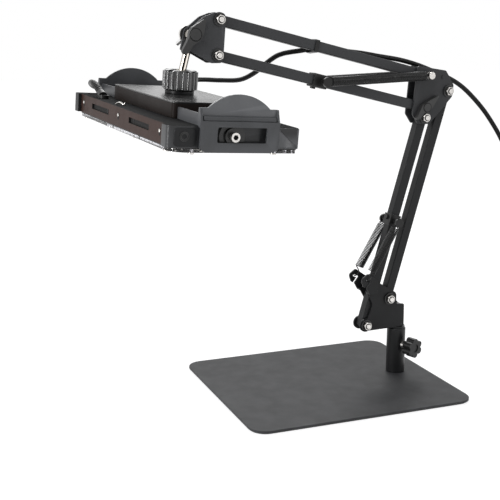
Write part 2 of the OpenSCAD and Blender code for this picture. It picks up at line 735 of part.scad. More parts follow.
module lamp_housing() color("#4a423e") lamp() difference() {
    union() {
        difference() {
            lift(house_low, house_top) {
                house_shape(0);
                for (t = [-1, 1]) cap_shape(t);
            }
            lift(house_low - 1, house_top - house_wall) house_shape(house_wall);
            for (s = [-1, 1], t = [-1, 1]) translate([s * house_w / 2, t * house_l * 0.207, house_low + house_h / 2 + 0.8])
                cube([3 * house_wall + 2, vent_l, vent_h], center = true);
            for (s = [-1, 1], y = [-0.405, 0, 0.405]) translate([s * (house_w / 2 - house_wall * 2), y * house_l, house_low + house_h / 2 + 1])
                rotate([0, 90, 0]) cylinder(d = 3, h = house_wall * 4, center = false);
        }
        for (p = screws) translate([p[0], p[1], house_low]) cylinder(r = screw_in - house_wall + 0.5, h = house_h - house_wall / 2);
        for (t = [-1, 1]) translate([bolt_x - 5, t * (house_l / 2 - 3.5) - 2.5, bolt_z - 5]) cube([10, 5, 10]);
    }
    for (p = screws) translate([p[0], p[1], house_low - 1]) cylinder(r = screw_d / 2 + run_gap, h = screw_top - house_low + 1.5);
    for (t = [-1, 1]) translate([bolt_x, t * (house_l / 2 + 1), bolt_z])
        rotate([t * 90, 0, 0]) cylinder(r = bolt_d / 2 + run_gap, h = 9);
}

sink_w = house_w - 24;
sink_l = house_l - 34;
board_t = 1.6;
board_top = house_low + 3;
fins = 12;
module heat_sink() color("#8d9096") lamp() {
    lift(board_top, board_top + 3) square([sink_w, sink_l], center = true);
    for (i = [0 : fins - 1]) translate([(i - (fins - 1) / 2) * sink_w / fins, 0]) lift(board_top + 3, house_top - house_wall)
        square([1.6, sink_l - 14], center = true);
}
module led_board() color("#e6e6e2") lamp() lift(board_top - board_t, board_top) square([sink_w, sink_l], center = true);
chip_w = 4;
module led_chips() color("#c9a6ff") lamp() for (i = [0 : led_rows - 1], j = [0 : led_cols - 1])
    translate([(i - (led_rows - 1) / 2) * sink_w / led_rows, (j - (led_cols - 1) / 2) * sink_l / led_cols])
        lift(board_top - board_t - 0.8, board_top - board_t) square(chip_w, center = true);

module cover_gasket() color("#1a1a1a") lamp() lift(house_low - gasket_t, house_low) difference() {
    house_shape(0.6);
    house_shape(2 * screw_in - 1);
    for (p = screws) translate(p) circle(r = screw_d / 2 + run_gap);
}
module clear_cover() color("#d8d4ee", 0.45) lamp() lift(house_low - gasket_t - cover_t, house_low - gasket_t) difference() {
    house_shape(1.2);
    for (p = screws) translate(p) circle(r = screw_d / 2 + run_gap);
}
screw_seat = house_low - gasket_t - cover_t;
module cover_screws() color("#b7b9bf") lamp() for (p = screws) translate(p) {
    lift(screw_seat, screw_top) circle(d = screw_d);
    lift(screw_seat - 1.7, screw_seat) circle(d = 5.6);
}

// Driver box

module driver_case() color("#3a3634") lamp() difference() {
    lift(house_top, -lid_drop - lid_t) block(driver_w, driver_l, 4);
    lift(house_top + 1.2, 0) block(driver_w - 3, driver_l - 3, 2.5);
}
module driver_lid() color("#6d6d70") lamp() difference() {
    lift(-lid_drop - lid_t, -lid_drop) block(driver_w, driver_l, 4);
    lift(-lid_drop - lid_t - 1, 0) circle(r = 8 + run_gap);
}
module driver_board() color("#2f5d3a") lamp() {
    z = house_top + 1.2;
    lift(z, z + 1.6) translate([0, 34]) square([driver_w - 8, driver_l / 2 - 14], center = true);
    translate([-14, 44]) lift(z + 1.6, z + 9) square([20, 24], center = true);
    for (x = [8, 20]) translate([x, 50]) lift(z + 1.6, z + 9.4) circle(d = 9);
    translate([12, 22]) lift(z + 1.6, z + 7) square([18, 12], center = true);
}

// End brackets: a channel on the housing, the half disc plate, a rolled step and the slotted end plate

end_face = house_l / 2;
back_y = end_face + free_gap;        // half disc plate
front_y = back_y + end_t + 3;        // slotted plate
shoulder = -lid_drop + 1.15;
roll_z = house_top + 6.2;
roll_r = 3;
end_low = house_low - 2.6;
slot_x = 1.8;
slot_z = house_top - 6;
disc_chord = sqrt(2 * end_disc_r * end_disc_h - end_disc_h * end_disc_h);
module end_bracket(t) lamp() mirror([0, t > 0 ? 0 : 1, 0]) {
    lip = 2;
    strap_y = driver_l / 2;
    translate([0, (strap_y + back_y) / 2]) lift(house_top, house_top + end_t) square([end_w - 4, back_y - strap_y], center = true);
    for (s = [-1, 1]) translate([s * (end_w / 2 - 2 - lip / 2), (strap_y + back_y) / 2]) lift(house_top, house_top + 10)
        square([lip, back_y - strap_y], center = true);
    // half disc plate
    translate([0, back_y + end_t, 0]) rotate([90, 0, 0]) linear_extrude(end_t) {
        outline([[end_w / 2, shoulder, 1], [-end_w / 2, shoulder, 1], [-end_w / 2, house_top, 0], [end_w / 2, house_top, 0]]);
        intersection() {
            translate([0, shoulder + end_disc_h - end_disc_r]) circle(r = end_disc_r, $fn = 96);
            translate([-disc_chord, shoulder - 0.5]) square([2 * disc_chord, end_disc_h + 1]);
        }
    }
    // rolled step
    translate([-end_w / 2 + 2, back_y + end_t + 0.9, roll_z]) rotate([0, 90, 0]) cylinder(r = roll_r, h = end_w - 4);
    // slotted plate
    translate([0, front_y + end_t, 0]) rotate([90, 0, 0]) linear_extrude(end_t) difference() {
        outline([[end_w / 2 + 1, roll_z - 1, 0.6], [-end_w / 2 - 1, roll_z - 1, 0.6], [-end_w / 2 - 1, end_low + 3.4, 1],
            [-end_w / 2 + 4, end_low, 1], [end_w / 2 - 4, end_low, 1], [end_w / 2 + 1, end_low + 3.4, 1]]);
        translate([slot_x, slot_z]) block(end_slot_l, end_slot_h, 1.6);
    }
    // side ears
    for (s = [-1, 1]) translate([s * (end_w / 2) - 1, 0, 0]) rotate([90, 0, 90]) linear_extrude(2)
        outline([[back_y, shoulder, 0], [back_y + end_t + 0.6, shoulder, 0.5], [front_y + end_t, house_top + 3.6, 1],
            [front_y + end_t, house_top - 1, 0], [front_y, house_top - 1, 0], [back_y, house_top + 1, 0]]);
}
module end_bracket_near() color("#434347") end_bracket(-1);
module end_bracket_far() color("#37373b") end_bracket(1);

// Stepped washers between the housing and the slotted plate, and the socket head bolts
disc_t = (front_y - end_face - free_gap) / 2;
disc_top = house_top - free_gap - bolt_z;    // the large washer's upper edge, from the bolt
disc_low = bolt_z - house_low;               // and its lower edge
head_r = 4;                                  // the bolt head sinks into the slot
module at_end_bolts() lamp() for (t = [0, 1]) mirror([0, t, 0])
    translate([bolt_x, end_face, bolt_z]) rotate([-90, 0, 0]) children();
module end_washers() color("#161618") at_end_bolts() difference() {
    union() {
        intersection() {
            cylinder(r = 11.8, h = disc_t);
            translate([-20, -disc_top, 0]) cube([40, disc_top + disc_low, disc_t]);
        }
        cylinder(r = disc_top, h = 2 * disc_t);
        cylinder(r = head_r, h = 2 * disc_t + 0.9);
    }
    translate([0, 0, -1]) cylinder(r = bolt_d / 2 + run_gap, h = 20);
}
module end_bolts() color("#dadce0") at_end_bolts() {
    seat = 2 * disc_t + 0.9;
    translate([0, 0, -5]) cylinder(d = bolt_d, h = seat + 6);
    difference() {
        translate([0, 0, seat]) cylinder(r = head_r, h = 4.2);
        translate([0, 0, seat + 1.8]) cylinder(r = 2.3, h = 4, $fn = 6);
    }
}

// Cable gland on the housing top, and the cord

gland = [9.5 - house_w / 2, house_l / 2 - 55];
gland_rise = 21;
gland_l = 11.4;
gland_from = [gland[0], gland[1] + 2, house_top + 2.2];
gland_out = [0, cos(gland_rise), sin(gland_rise)];
module cable_gland() color("#141416") lamp() {
    translate([gland[0], gland[1], house_top]) cylinder(r = 5, h = 3.4);
    intersection() {
        translate(gland_from) rotate([gland_rise - 90, 0, 0]) cylinder(r1 = 4.4, r2 = 3.4, h = gland_l);
        translate([gland[0] - 10, gland[1] - 10, house_top]) cube(30);
    }
}

// Turns a direction from the lamp's frame to the object's
function turned(v) =
    let (
        a = [v[0] * cos(lamp_roll) + v[2] * sin(lamp_roll), v[1], v[2] * cos(lamp_roll) - v[0] * sin(lamp_roll)],
        b = [a[0], a[1] * cos(lamp_pitch) - a[2] * sin(lamp_pitch), a[1] * sin(lamp_pitch) + a[2] * cos(lamp_pitch)]
    )
    [b[0] * cos(lamp_yaw) - b[1] * sin(lamp_yaw), b[0] * sin(lamp_yaw) + b[1] * cos(lamp_yaw), b[2]];
cord_from = arm_world(ball, 0) + turned(gland_from + gland_out * (gland_l - 1.5));
cord_out = turned(gland_out);

lamp_route = [
    cord_from, cord_from + 5 * cord_out,
    [-304, 86, 316], [-304, 99, 317], [-302, 113, 314.5], [-295, 125, 310.5], [-282, 131.5, 309],
    [-260, 133, 309], [-238, 133, 310.5], [-216, 129, 313], [-200, 121, 315], [-184, 109, 316.5], [-168, 89, 316.5],
    [-155.3, 67, 318], [-147, 48.5, 325.5], [-140.4, 34, 335.2], [-134.6, 23, 342.3], [-129.7, 16.2, 345.4],
    [-123.5, 10.6, 347.1], [-120.2, 8.5, 347.6]
];
arm_route = [[-119.9, 8.3, 347.65], [-116.2, 6.4, 348.3], [-108.3, 3.9, 349.6], [-100, 3, 350.2], [-90, 3.1, 349.5], [-72, 4.6, 348], [-48, 6.5, 345.5], [-26, 8.5, 342]];
elbow_route = [[-25.6, 8.6, 341.9], [0, 11.5, 338], [22, 13, 332.5], [42, 13.5, 325.5]];
drop_route = [
    [42.4, 13.5, 325.3], [65, 14, 316.5], [84, 15, 305], [106, 16, 285.5], [123, 17, 266], [136, 18, 248],
    [150, 19, 224], [163, 20, 196], [175, 20, 164], [186, 20, 130], [196, 20, 96], [206, 19, 62],
    [216, 18, 34], [226, 16, 13], [237, 14.7, 4.6], [248, 14.7, 2.7], [256.8, 14.7, 2.7]
];
coil_gap = 1;
coil_pitch = cord_d + coil_gap;
coil_low = cord_d / 2 + 0.2;
coil_layer_turns = (coil_turns - 0.5) / 2;
coil_out = coil_d / 2 + coil_pitch * coil_layer_turns / 2;
coil_mid = [262, 14.7 + coil_out];
coil_rings = 24;
// Radius and height of the coil after t turns: in on the lower layer, up in the reversing half turn, out on top
function coil_radius(t) = coil_out - coil_pitch * min(t, coil_turns - t);
function coil_height(t) = coil_low + coil_pitch * min(max((t - coil_layer_turns) / 0.5, 0), 1);
coil_path = [for (i = [0 : coil_turns * coil_rings])
    let (t = i / coil_rings, a = 360 * t - 90)
    [coil_mid[0] + coil_radius(t) * cos(a), coil_mid[1] + coil_radius(t) * sin(a), coil_height(t)]];
coil_end = coil_path[len(coil_path) - 1];
tail_l = 34;

module cord_run(p, steps) color("#111113") tube(through(p, steps), cord_d / 2, 10, [0, 0.3, 1]);
module cord_lamp() cord_run(lamp_route, 2);
module cord_arm() cord_run(arm_route, 2);
module cord_elbow() cord_run(elbow_route, 2);
module cord_drop() cord_run(drop_route, 2);
module cord_coil() color("#111113") {
    path = concat([coil_path[0] - [cord_d, 0, 0]], coil_path,
        [coil_end + [cord_d, 0, 0], plug_at - [cord_d, 0, 0], plug_at]);
    echo("Least gap of the coil", least_gap(coil_path, cord_d / 2, coil_rings / 2));
    tube(path, cord_d / 2, 6, [0, 0.3, 1]);
}

// Tie round the top bar and the cord beside it
tie_at = 0.545 * upper_l;
tie_wall = 1;
module cord_clips() color("#151517") arm() translate([s1[0], s1[1], 0]) rotate(upper_rise) translate([tie_at, 0, 0])
    rotate([90, 0, 90]) linear_extrude(4) difference() {
        tie_shape(clip_in + tie_wall, clip_in + cord_d + 2 * tie_wall);
        tie_shape(clip_in, clip_in + cord_d + tie_wall);
    }
module tie_shape(half, far) outline([[-half, -half, 1], [half, -half, 1], [far, -half + 1, 2], [far, half - 4, 2], [half, half, 1], [-half, half, 1]]);

plug_l = 34;
plug_h = 15;
plug_at = [coil_end[0] + tail_l, coil_end[1], plug_h / 2 + 0.3];
module plug() {
    color("#131315") translate(plug_at) rotate([90, 0, 90]) {
        cylinder(r1 = cord_d / 2 + 1, r2 = 6.4, h = 12);
        translate([0, 0, 12]) linear_extrude(plug_l - 12) block(24, plug_h, 5);
    }
    color("#c8a860") translate(plug_at + [plug_l, 0, 0]) for (s = [-1, 1])
        translate([0, s * 6.35 - 0.75, -3.2]) cube([17, 1.5, 6.4]);
}

base_pad();
base_plate();
post();
post_screw();
star_knob();
star_knob_stud();
swivel_block();
lower_bracket_near();
lower_bracket_far();
lower_bolts();
lower_nuts();
lower_bar_front();
lower_bar_rear();
lower_spring_clip();
lower_spring_near();
lower_spring_far();
mid_bracket_near();
mid_bracket_far();
mid_spacer();
mid_bolts();
mid_nuts();
mid_pivot_cap();
upper_bar_top();
upper_bar_bottom();
upper_spring_clip();
upper_spring_near();
upper_spring_far();
head_bracket_near();
head_bracket_far();
head_spacers();
head_bolts();
head_nuts();
tilt_bolt();
wing_nut();
ball_stud();
ball_cup();
lock_ring();
ball_socket();
lamp_housing();
heat_sink();
led_board();
led_chips();
cover_gasket();
clear_cover();
cover_screws();
driver_case();
driver_lid();
driver_board();
end_bracket_near();
end_bracket_far();
end_washers();
end_bolts();
cable_gland();
cord_lamp();
cord_arm();
cord_elbow();
cord_drop();
cord_coil();
cord_clips();
plug();
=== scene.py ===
# %% [markdown]
# # A UV exposure lamp on a balanced arm
# The lamp is a flat box of LEDs that hangs face down from a ball joint. Two pairs of square
# tubes and four springs hold it at any height, and a steel plate keeps it standing.
# The solids are loaded first, with their joints. Each step after that gives one group of
# pieces the edges, the small parts and the finish that the real one has.

import json
import math

import bmesh
import bpy
from mathutils import Matrix, Vector


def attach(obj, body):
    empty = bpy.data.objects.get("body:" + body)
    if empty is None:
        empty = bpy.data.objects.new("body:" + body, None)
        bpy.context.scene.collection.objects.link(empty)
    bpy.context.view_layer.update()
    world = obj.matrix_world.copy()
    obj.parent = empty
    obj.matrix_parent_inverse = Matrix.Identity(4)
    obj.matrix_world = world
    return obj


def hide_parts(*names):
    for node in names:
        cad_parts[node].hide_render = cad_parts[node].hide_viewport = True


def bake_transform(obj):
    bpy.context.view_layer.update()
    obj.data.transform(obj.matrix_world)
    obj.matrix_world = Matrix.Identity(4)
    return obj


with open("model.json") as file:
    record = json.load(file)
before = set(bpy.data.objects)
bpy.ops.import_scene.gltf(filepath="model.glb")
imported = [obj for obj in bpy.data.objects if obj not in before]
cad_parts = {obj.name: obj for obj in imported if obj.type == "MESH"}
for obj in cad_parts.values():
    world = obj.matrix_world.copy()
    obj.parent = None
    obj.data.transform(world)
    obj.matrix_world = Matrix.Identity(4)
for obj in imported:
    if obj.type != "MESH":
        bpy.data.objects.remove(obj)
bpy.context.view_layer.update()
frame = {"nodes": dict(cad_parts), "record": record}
MM = 0.001

# %% [markdown]
# ## The camera
# A product picture is taken from some way off with a long lens, so that the lamp head isn't
# stretched. The camera stands to the left of the lamp and a little above the elbow. The
# Standard view keeps the white ground white and the black pieces black.

# %% Place the camera
DECK = 3.5 * MM  # top of the base plate
CAMERA_AT = Vector((-0.525, -0.914, 0.370 + DECK))
CAMERA_DOWN, CAMERA_RIGHT = 12.7, 21.2  # degrees below level, and to the right of +Y
camera = bpy.data.objects.new("camera", bpy.data.cameras.new("camera"))
bpy.context.scene.collection.objects.link(camera)
camera.location = CAMERA_AT
camera.rotation_euler = (math.radians(90 - CAMERA_DOWN), 0, math.radians(-CAMERA_RIGHT))
camera.data.lens = 72
camera.data.sensor_width = 36
camera.data.clip_start = 0.05
bpy.context.scene.camera = camera
bpy.context.scene.view_settings.view_transform = "Standard"
print("camera, mm from the post:", round(CAMERA_AT.length / MM))


# %% [markdown]
# ## Two frames to measure in
# The arm lies in one upright plane that is turned 3 degrees from the X axis. The lamp head is
# turned, pitched and rolled on its ball. A matrix for each lets a piece be made in millimetres
# where it is easy to think about, and then put in its place. The pivots are P on the swivel,
# Q and S on the middle brackets and R on the head brackets, 1 for the front or top bar.


# %% The arm's frame and the lamp's frame
def shift(x, y, z):
    return Matrix.Translation((x, y, z))


def turn(angle, axis):
    return Matrix.Rotation(math.radians(angle), 4, axis)


def along(point, angle, length):
    """The point that lies `length` away in the direction `angle`, in degrees."""
    way = math.radians(angle)
    return (point[0] + length * math.cos(way), point[1] + length * math.sin(way))


ARM_TURN, RISE, LEAN = 3, 13.5, 16.4  # the arm's plane, the upper bars and the lower bars
LOWER_BAR, UPPER_BAR = 226.4, 238.3  # pivot to pivot
P1 = (42.6, 58.7)
P2 = along(along(P1, 90 + LEAN, 33.2), 180 + LEAN, 19.1)
Q1 = along(P1, 90 + LEAN, LOWER_BAR)
Q2 = along(P2, 90 + LEAN, LOWER_BAR)
S2 = (Q1[0] + 0.3, Q1[1] + 10.6)
S1 = along(along(S2, RISE, 5.5), RISE + 90, 32.1)
R2 = along(S2, RISE, UPPER_BAR)
R1 = along(S1, RISE, UPPER_BAR)
TILT = (R1[0] + 25.6, R1[1] - 13.6)  # the bolt that the rod tilts on
ROD_WAY, ROD_LONG = -74.6, 42.5
BALL = along(TILT, ROD_WAY, ROD_LONG)

WORLD = Matrix.Scale(MM, 4)
# x runs from the post to the lamp, y runs up, z runs to the far side
ARM = shift(0, 0, DECK) @ turn(180 + ARM_TURN, "Z") @ turn(90, "X") @ WORLD
ball_centre = ARM @ Vector((*BALL, 0))
# x runs to the lamp's right side, y to its far end, z up, from the middle of the ball
LAMP = shift(*ball_centre) @ turn(5.1, "Z") @ turn(2.6, "X") @ turn(3.6, "Y") @ WORLD
NEAR = turn(180, "X")  # turns a part so that its z points at the viewer's side of the arm
LEFT = turn(-90, "Y")  # its z points to the lamp's left side, and its x up
RIGHT = turn(90, "Y")
END = turn(90, "X")  # its z points out of the lamp's near end, and its y up
print("ball centre in mm:", [round(x / MM, 1) for x in ball_centre])

# %% [markdown]
# ## Shader maths
# A finish is a short sum of noise, masks and colours. Wrapping a socket in a small class lets
# that sum be written as Python, so that `rough + 0.1 * noise` adds the nodes by itself.


# %% A socket that can be added and multiplied
class Wire:
    """One output socket. Numbers go through Math nodes."""

    def __init__(self, tree, socket):
        self.tree, self.socket = tree, socket

    def maths(self, operation, other=None, swap=False):
        values = (other, self) if swap else (self, other)
        return node(self.tree, "ShaderNodeMath", {"operation": operation}, dict(enumerate(values)))

    def __add__(self, other):
        return self.maths("ADD", other)

    def __sub__(self, other):
        return self.maths("SUBTRACT", other)

    def __mul__(self, other):
        return self.maths("MULTIPLY", other)

    def __truediv__(self, other):
        return self.maths("DIVIDE", other)

    def __pow__(self, other):
        return self.maths("POWER", other)

    __radd__, __rmul__ = __add__, __mul__

    def __rsub__(self, other):
        return self.maths("SUBTRACT", other, swap=True)

    def __abs__(self):
        return self.maths("ABSOLUTE")

    def clipped(self):
        """The same, but not under 0 or over 1."""
        return node(self.tree, "ShaderNodeClamp", {}, {0: self})

    def above(self, low, high):
        """0 below low, 1 above high, and a smooth step between them."""
        smooth = {"interpolation_type": "SMOOTHSTEP"}
        values = {"Value": self, "From Min": low, "From Max": high}
        return node(self.tree, "ShaderNodeMapRange", smooth, values, "Result")


def node(tree, kind, settings, values, output=0):
    """Adds a node, sets it up, fills its sockets with values or wires, and returns one output."""
    made = tree.nodes.new(kind)
    for name, value in settings.items():
        setattr(made, name, value)
    for name, value in values.items():
        if isinstance(value, Wire):
            tree.links.new(value.socket, made.inputs[name])
        elif value is not None:
            made.inputs[name].default_value = value
    return Wire(tree, made.outputs[output])


def place(tree, name="Object"):
    """The point on the surface in metres, or the way it faces; both in the piece's own axes."""
    return node(tree, "ShaderNodeTexCoord", {}, {}, name)


def noise(tree, size, detail=2.0, rough=0.5, stretch=None):
    """Even noise with lumps about `size` metres across, from 0 to 1."""
    at = place(tree)
    if stretch:
        at = node(tree, "ShaderNodeMapping", {}, {"Vector": at, "Scale": stretch})
    values = {"Vector": at, "Scale": 1 / size, "Detail": detail, "Roughness": rough}
    return node(tree, "ShaderNodeTexNoise", {}, values)


def mixed(tree, mask, first, second):
    """first where mask is 0, second where it is 1; both are colours."""
    return node(tree, "ShaderNodeMix", {"data_type": "RGBA"}, {0: mask, 6: first, 7: second}, 2)


def worn_edges(tree):
    """1 on outward edges and corners, 0 on flats."""
    return node(tree, "ShaderNodeNewGeometry", {}, {}, "Pointiness").above(0.53, 0.62)


def painted_shade_below(tree):
    """Painted shade mask: 1 on faces that look down, 0 on upright ones."""
    upward = node(tree, "ShaderNodeSeparateXYZ", {}, {"Vector": place(tree, "Normal")}, "Z")
    return (0 - upward).above(0.1, 0.5)


def tinted(tone, tint):
    """A grey with a touch of colour."""
    return tuple(tone * c for c in tint) + (1,)


def finish(name, colour, rough, metal=0.0, bump=None, **sockets):
    """A Principled material. colour, rough and metal are values or functions of the tree."""
    made = bpy.data.materials.new(name)
    made.use_nodes = True
    tree = made.node_tree
    shader = tree.nodes["Principled BSDF"]

    def put(socket, value):
        value = value(tree) if callable(value) else value
        if isinstance(value, Wire):
            tree.links.new(value.socket, shader.inputs[socket])
        else:
            shader.inputs[socket].default_value = value

    put("Base Color", colour)
    put("Roughness", rough)
    put("Metallic", metal)
    for socket, value in sockets.items():
        put(socket.replace("_", " "), value)
    if bump is not None:
        height, distance, strength = bump(tree)
        values = {"Height": height, "Distance": distance, "Strength": strength}
        normal = node(tree, "ShaderNodeBump", {}, values, "Normal")
        tree.links.new(normal.socket, shader.inputs["Normal"])
    return made


print("shader tools ready")


# %% [markdown]
# ## The finishes
# Nearly all of the lamp is black or dark grey, so the pieces are told apart by how they shine.
# Powder coat is matt with a fine orange-peel grain, moulded plastic is smoother, the zinc nuts
# are soft and bright, and the rod and the wing nut are polished. Small changes of tone and
# gloss keep large flat faces from looking like paper, and undersides get painted shade,
# because the pale floor would light them more than a table does.

# %% Powder coat
STEEL_TINT = (0.97, 1.0, 1.07)  # a coat that leans a little to blue
ORANGE_PEEL = (0.35 * MM, 0.03 * MM)  # width and depth of the grain


def powder_coat(name, tone, rough, shine=0.28, tint=STEEL_TINT, peel=ORANGE_PEEL, edge=1.5):
    """Matt grained paint with painted shade on faces that look down; `edge` is how much lighter
    it is where it is rubbed.
    """
    grain, depth = peel

    def colour(tree):
        cloud = noise(tree, 30 * MM, 3).above(0.35, 0.65)
        base = mixed(tree, cloud, tinted(tone * 0.86, tint), tinted(tone * 1.12, tint))
        speck = noise(tree, grain * 1.6, 1).above(0.55, 0.75) * 0.35
        rubbed = (worn_edges(tree) * 0.6 + speck).clipped()
        worn = mixed(tree, rubbed, base, tinted(tone * edge, tint))
        # painted shade: faces that look down are mixed towards black
        return mixed(tree, painted_shade_below(tree) * 0.85, worn, (0, 0, 0, 1))

    def gloss(tree):
        return noise(tree, 12 * MM, 3) * 0.14 + (rough - 0.07)

    def grained(tree):
        return noise(tree, grain, 2, 0.6), depth, 0.6

    return finish(name, colour, gloss, bump=grained, Specular_IOR_Level=shine)


coat_lower = powder_coat("coat_lower", 0.009, 0.42, 0.22)
coat_upper = powder_coat("coat_upper", 0.024, 0.44)
coat_post = powder_coat("coat_post", 0.009, 0.36)
coat_plate = powder_coat("coat_plate", 0.026, 0.6, peel=(0.7 * MM, 0.08 * MM), edge=1.3)
coat_bracket = powder_coat("coat_bracket", 0.046, 0.34, 0.4, (0.96, 1, 1.08))
# painted light: a lighter coat for the lit top of the near end bracket; the end rim uses it too
coat_lit_disc_and_rim = powder_coat("coat_lit_disc_and_rim", 0.085, 0.36, 0.4, (0.97, 1, 1.06))
coat_housing = powder_coat("coat_housing", 0.008, 0.34, 0.12, (1.0, 1.0, 1.04))
# painted reflection: a lighter brown copy of the housing coat for the left side
coat_side_painted_reflection = powder_coat("coat_side_painted_reflection", 0.012, 0.4, 0.07, (1.8, 0.95, 0.75))
coat_case = powder_coat("coat_case", 0.01, 0.4, 0.08, (1.3, 1.0, 0.9))
# painted shade: a slightly darker copy of the housing coat, much rougher, for its top
coat_top_painted_shade = powder_coat("coat_top_painted_shade", 0.006, 0.9, 0.1)
# painted highlight: a lighter copy of the housing coat for its near end
coat_cap_painted_highlight = powder_coat("coat_cap_painted_highlight", 0.024, 0.3, 0.35)
coat_end = powder_coat("coat_end", 0.014, 0.34, 0.2)
coat_head = powder_coat("coat_head", 0.046, 0.44)
print("coats:", len(bpy.data.materials))


# %% [markdown]
# ## Metals
# Zinc plating is soft and a little warm, nickel is whiter, and the heat sink is bare aluminium.
# Fine lines in the gloss and a faint bump stand for the marks of the lathe. The polished rod
# has a finish of its own, with painted reflections: the dark of the room is painted into its
# colour as thin bands that run along it. Where they lie follows from the place of the camera.


# %% Zinc, chrome and bare metal
def turned_metal(name, tone, rough, tint):
    """Metal with fine lines from the lathe."""

    def colour(tree):
        dulled = noise(tree, 3 * MM, 3).above(0.4, 0.75) * 0.5
        return mixed(tree, dulled, tinted(tone, tint), tinted(tone * 0.72, tint))

    def gloss(tree):
        lines = noise(tree, 0.4 * MM, 3, 0.6, stretch=(1, 1, 9))
        return lines * 0.06 + noise(tree, 4 * MM, 2) * 0.08 + (rough - 0.06)

    def brushed(tree):
        return noise(tree, 0.5 * MM, 2, stretch=(1, 1, 6)), 0.01 * MM, 0.4

    return finish(name, colour, gloss, 1.0, brushed)


zinc = turned_metal("zinc", 0.74, 0.24, (1.0, 0.97, 0.93))


def chrome_rod():
    """Chrome with painted reflections: the dark of the room is painted in three thin bands along the rod."""
    top, low = ARM @ Vector((*TILT, 0)), ball_centre
    side = (top - CAMERA_AT).cross(low - top).normalized()

    def vectors(tree, operation, first, second, output=0):
        values = {0: first, 1: tuple(second)}
        return node(tree, "ShaderNodeVectorMath", {"operation": operation}, values, output)

    def colour(tree):
        out = vectors(tree, "SUBTRACT", place(tree), top)
        across = vectors(tree, "DOT_PRODUCT", out, side, "Value") / MM  # left of the middle line
        # painted reflection: a dark band along the middle and dark rims, set for the camera's view
        painted_reflection_band = 1 - abs(across - 0.1).above(0.45, 0.85)
        rims = (0 - across).above(2.1, 2.5) + across.above(2.6, 3.0) * 0.8
        dark = (painted_reflection_band + rims).clipped() * 0.94
        return mixed(tree, dark, (0.97, 0.91, 0.82, 1), (0.05, 0.042, 0.035, 1))

    return finish("chrome", colour, lambda tree: noise(tree, 4 * MM, 2) * 0.05 + 0.08, 1.0)


chrome = chrome_rod()
nickel = turned_metal("nickel", 0.85, 0.22, (1.0, 1.0, 1.0))
heat_sink_metal = turned_metal("heat_sink_metal", 0.55, 0.38, (1.0, 1.01, 1.03))
brass = turned_metal("brass", 0.7, 0.28, (1.05, 0.82, 0.45))
print("with metals:", len(bpy.data.materials))


# %% [markdown]
# ## Plastics and rubber
# A moulded part has the fine grain of its mould, so one function makes them all from a tone, a
# roughness and a tint. The lock ring and the lenses of the LEDs get a clear coat, because they
# are glossy. The jacket of the cord and the springs shine less than bare plastic.


# %% Plastics and rubber
def moulded(name, tone, rough, tint=(1, 1, 1), grain=0.25 * MM, depth=0.012 * MM, **more):
    """Plastic or rubber with a fine grain from its mould."""

    def colour(tree):
        return mixed(tree, noise(tree, 18 * MM, 3), tinted(tone * 0.9, tint), tinted(tone * 1.15, tint))

    def gloss(tree):
        return noise(tree, 6 * MM, 3) * 0.12 + (rough - 0.06)

    def texture(tree):
        return noise(tree, grain, 2), depth, 0.5

    return finish(name, colour, gloss, bump=texture, **more)


black_plastic = moulded("black_plastic", 0.009, 0.34, Specular_IOR_Level=0.32)
knob_plastic = moulded("knob_plastic", 0.02, 0.46)
ring_plastic = moulded(
    "ring_plastic", 0.006, 0.16, (0.96, 1, 1.06), Specular_IOR_Level=0.8, Coat_Weight=0.8, Coat_Roughness=0.1
)
lid_gloss = moulded("lid_gloss", 0.016, 0.24, depth=0.0004 * MM)
nylon = moulded("nylon", 0.62, 0.42, (1, 0.97, 0.88))
soft_foam = moulded("soft_foam", 0.012, 0.85, grain=0.5 * MM, depth=0.12 * MM)
seal_rubber = moulded("seal_rubber", 0.015, 0.6)
cord_jacket = moulded("cord_jacket", 0.004, 0.34, (1, 1, 1), 0.6 * MM, 0.01 * MM, Specular_IOR_Level=0.16)
spring_steel = moulded("spring_steel", 0.008, 0.3, (1, 1, 1), 0.2 * MM, 0.004 * MM, Specular_IOR_Level=0.4)
washer_black = moulded("washer_black", 0.009, 0.28)
solder_mask = moulded("solder_mask", 0.72, 0.35, (1, 1, 0.97))
board_green = moulded("board_green", 0.12, 0.3, (0.35, 1.0, 0.5))
led_resin = moulded("led_resin", 0.75, 0.18, (1.0, 0.9, 0.42), Coat_Weight=0.5, Coat_Roughness=0.05)
# painted shade: a dark sheet for grooves, keyholes, vents and socket insides, where there is only shade
painted_shade_black = moulded("painted_shade_black", 0.004, 0.9)
soft_strap = moulded("soft_strap", 0.02, 0.8, grain=0.4 * MM, depth=0.08 * MM)
led_dome = moulded("led_dome", 0.8, 0.06, (1.0, 0.97, 0.85), Coat_Weight=0.8, Coat_Roughness=0.03)


# %% [markdown]
# ## Clear acrylic
# The cover under the LEDs is a clear sheet, which lets light through and bends it. A faint
# unevenness of the gloss keeps it from looking like air.


# %% Clear acrylic
def acrylic():
    """Clear sheet with a slight haze of handling."""

    def gloss(tree):
        return noise(tree, 20 * MM, 2) * 0.03 + 0.02

    return finish("acrylic", (0.93, 0.93, 0.98, 1), gloss, Transmission_Weight=1.0, IOR=1.49)


clear_acrylic = acrylic()
print("finishes:", len(bpy.data.materials))

# %% [markdown]
# ## The cord
# A cord is one smooth tube, so a curve with a round bevel is the natural way to make it. The
# middle line is a smooth curve through a few points, and the same tools draw the springs and
# the ribbed sleeves later on.

# %% Draw a cord through its points
CORD = 5 * MM


def spline_through(points, steps):
    """A smooth curve through the points, with `steps` pieces to each span."""
    last = len(points) - 1
    line = []
    for i in range(last):
        a, b, c, d = (Vector(points[k]) for k in (max(i - 1, 0), i, i + 1, min(i + 2, last)))
        square, cube = 2 * a - 5 * b + 4 * c - d, 3 * b - a - 3 * c + d
        for s in (k / steps for k in range(steps)):
            line.append(0.5 * (2 * b + (c - a) * s + square * s**2 + cube * s**3))
    return [*line, Vector(points[last])]


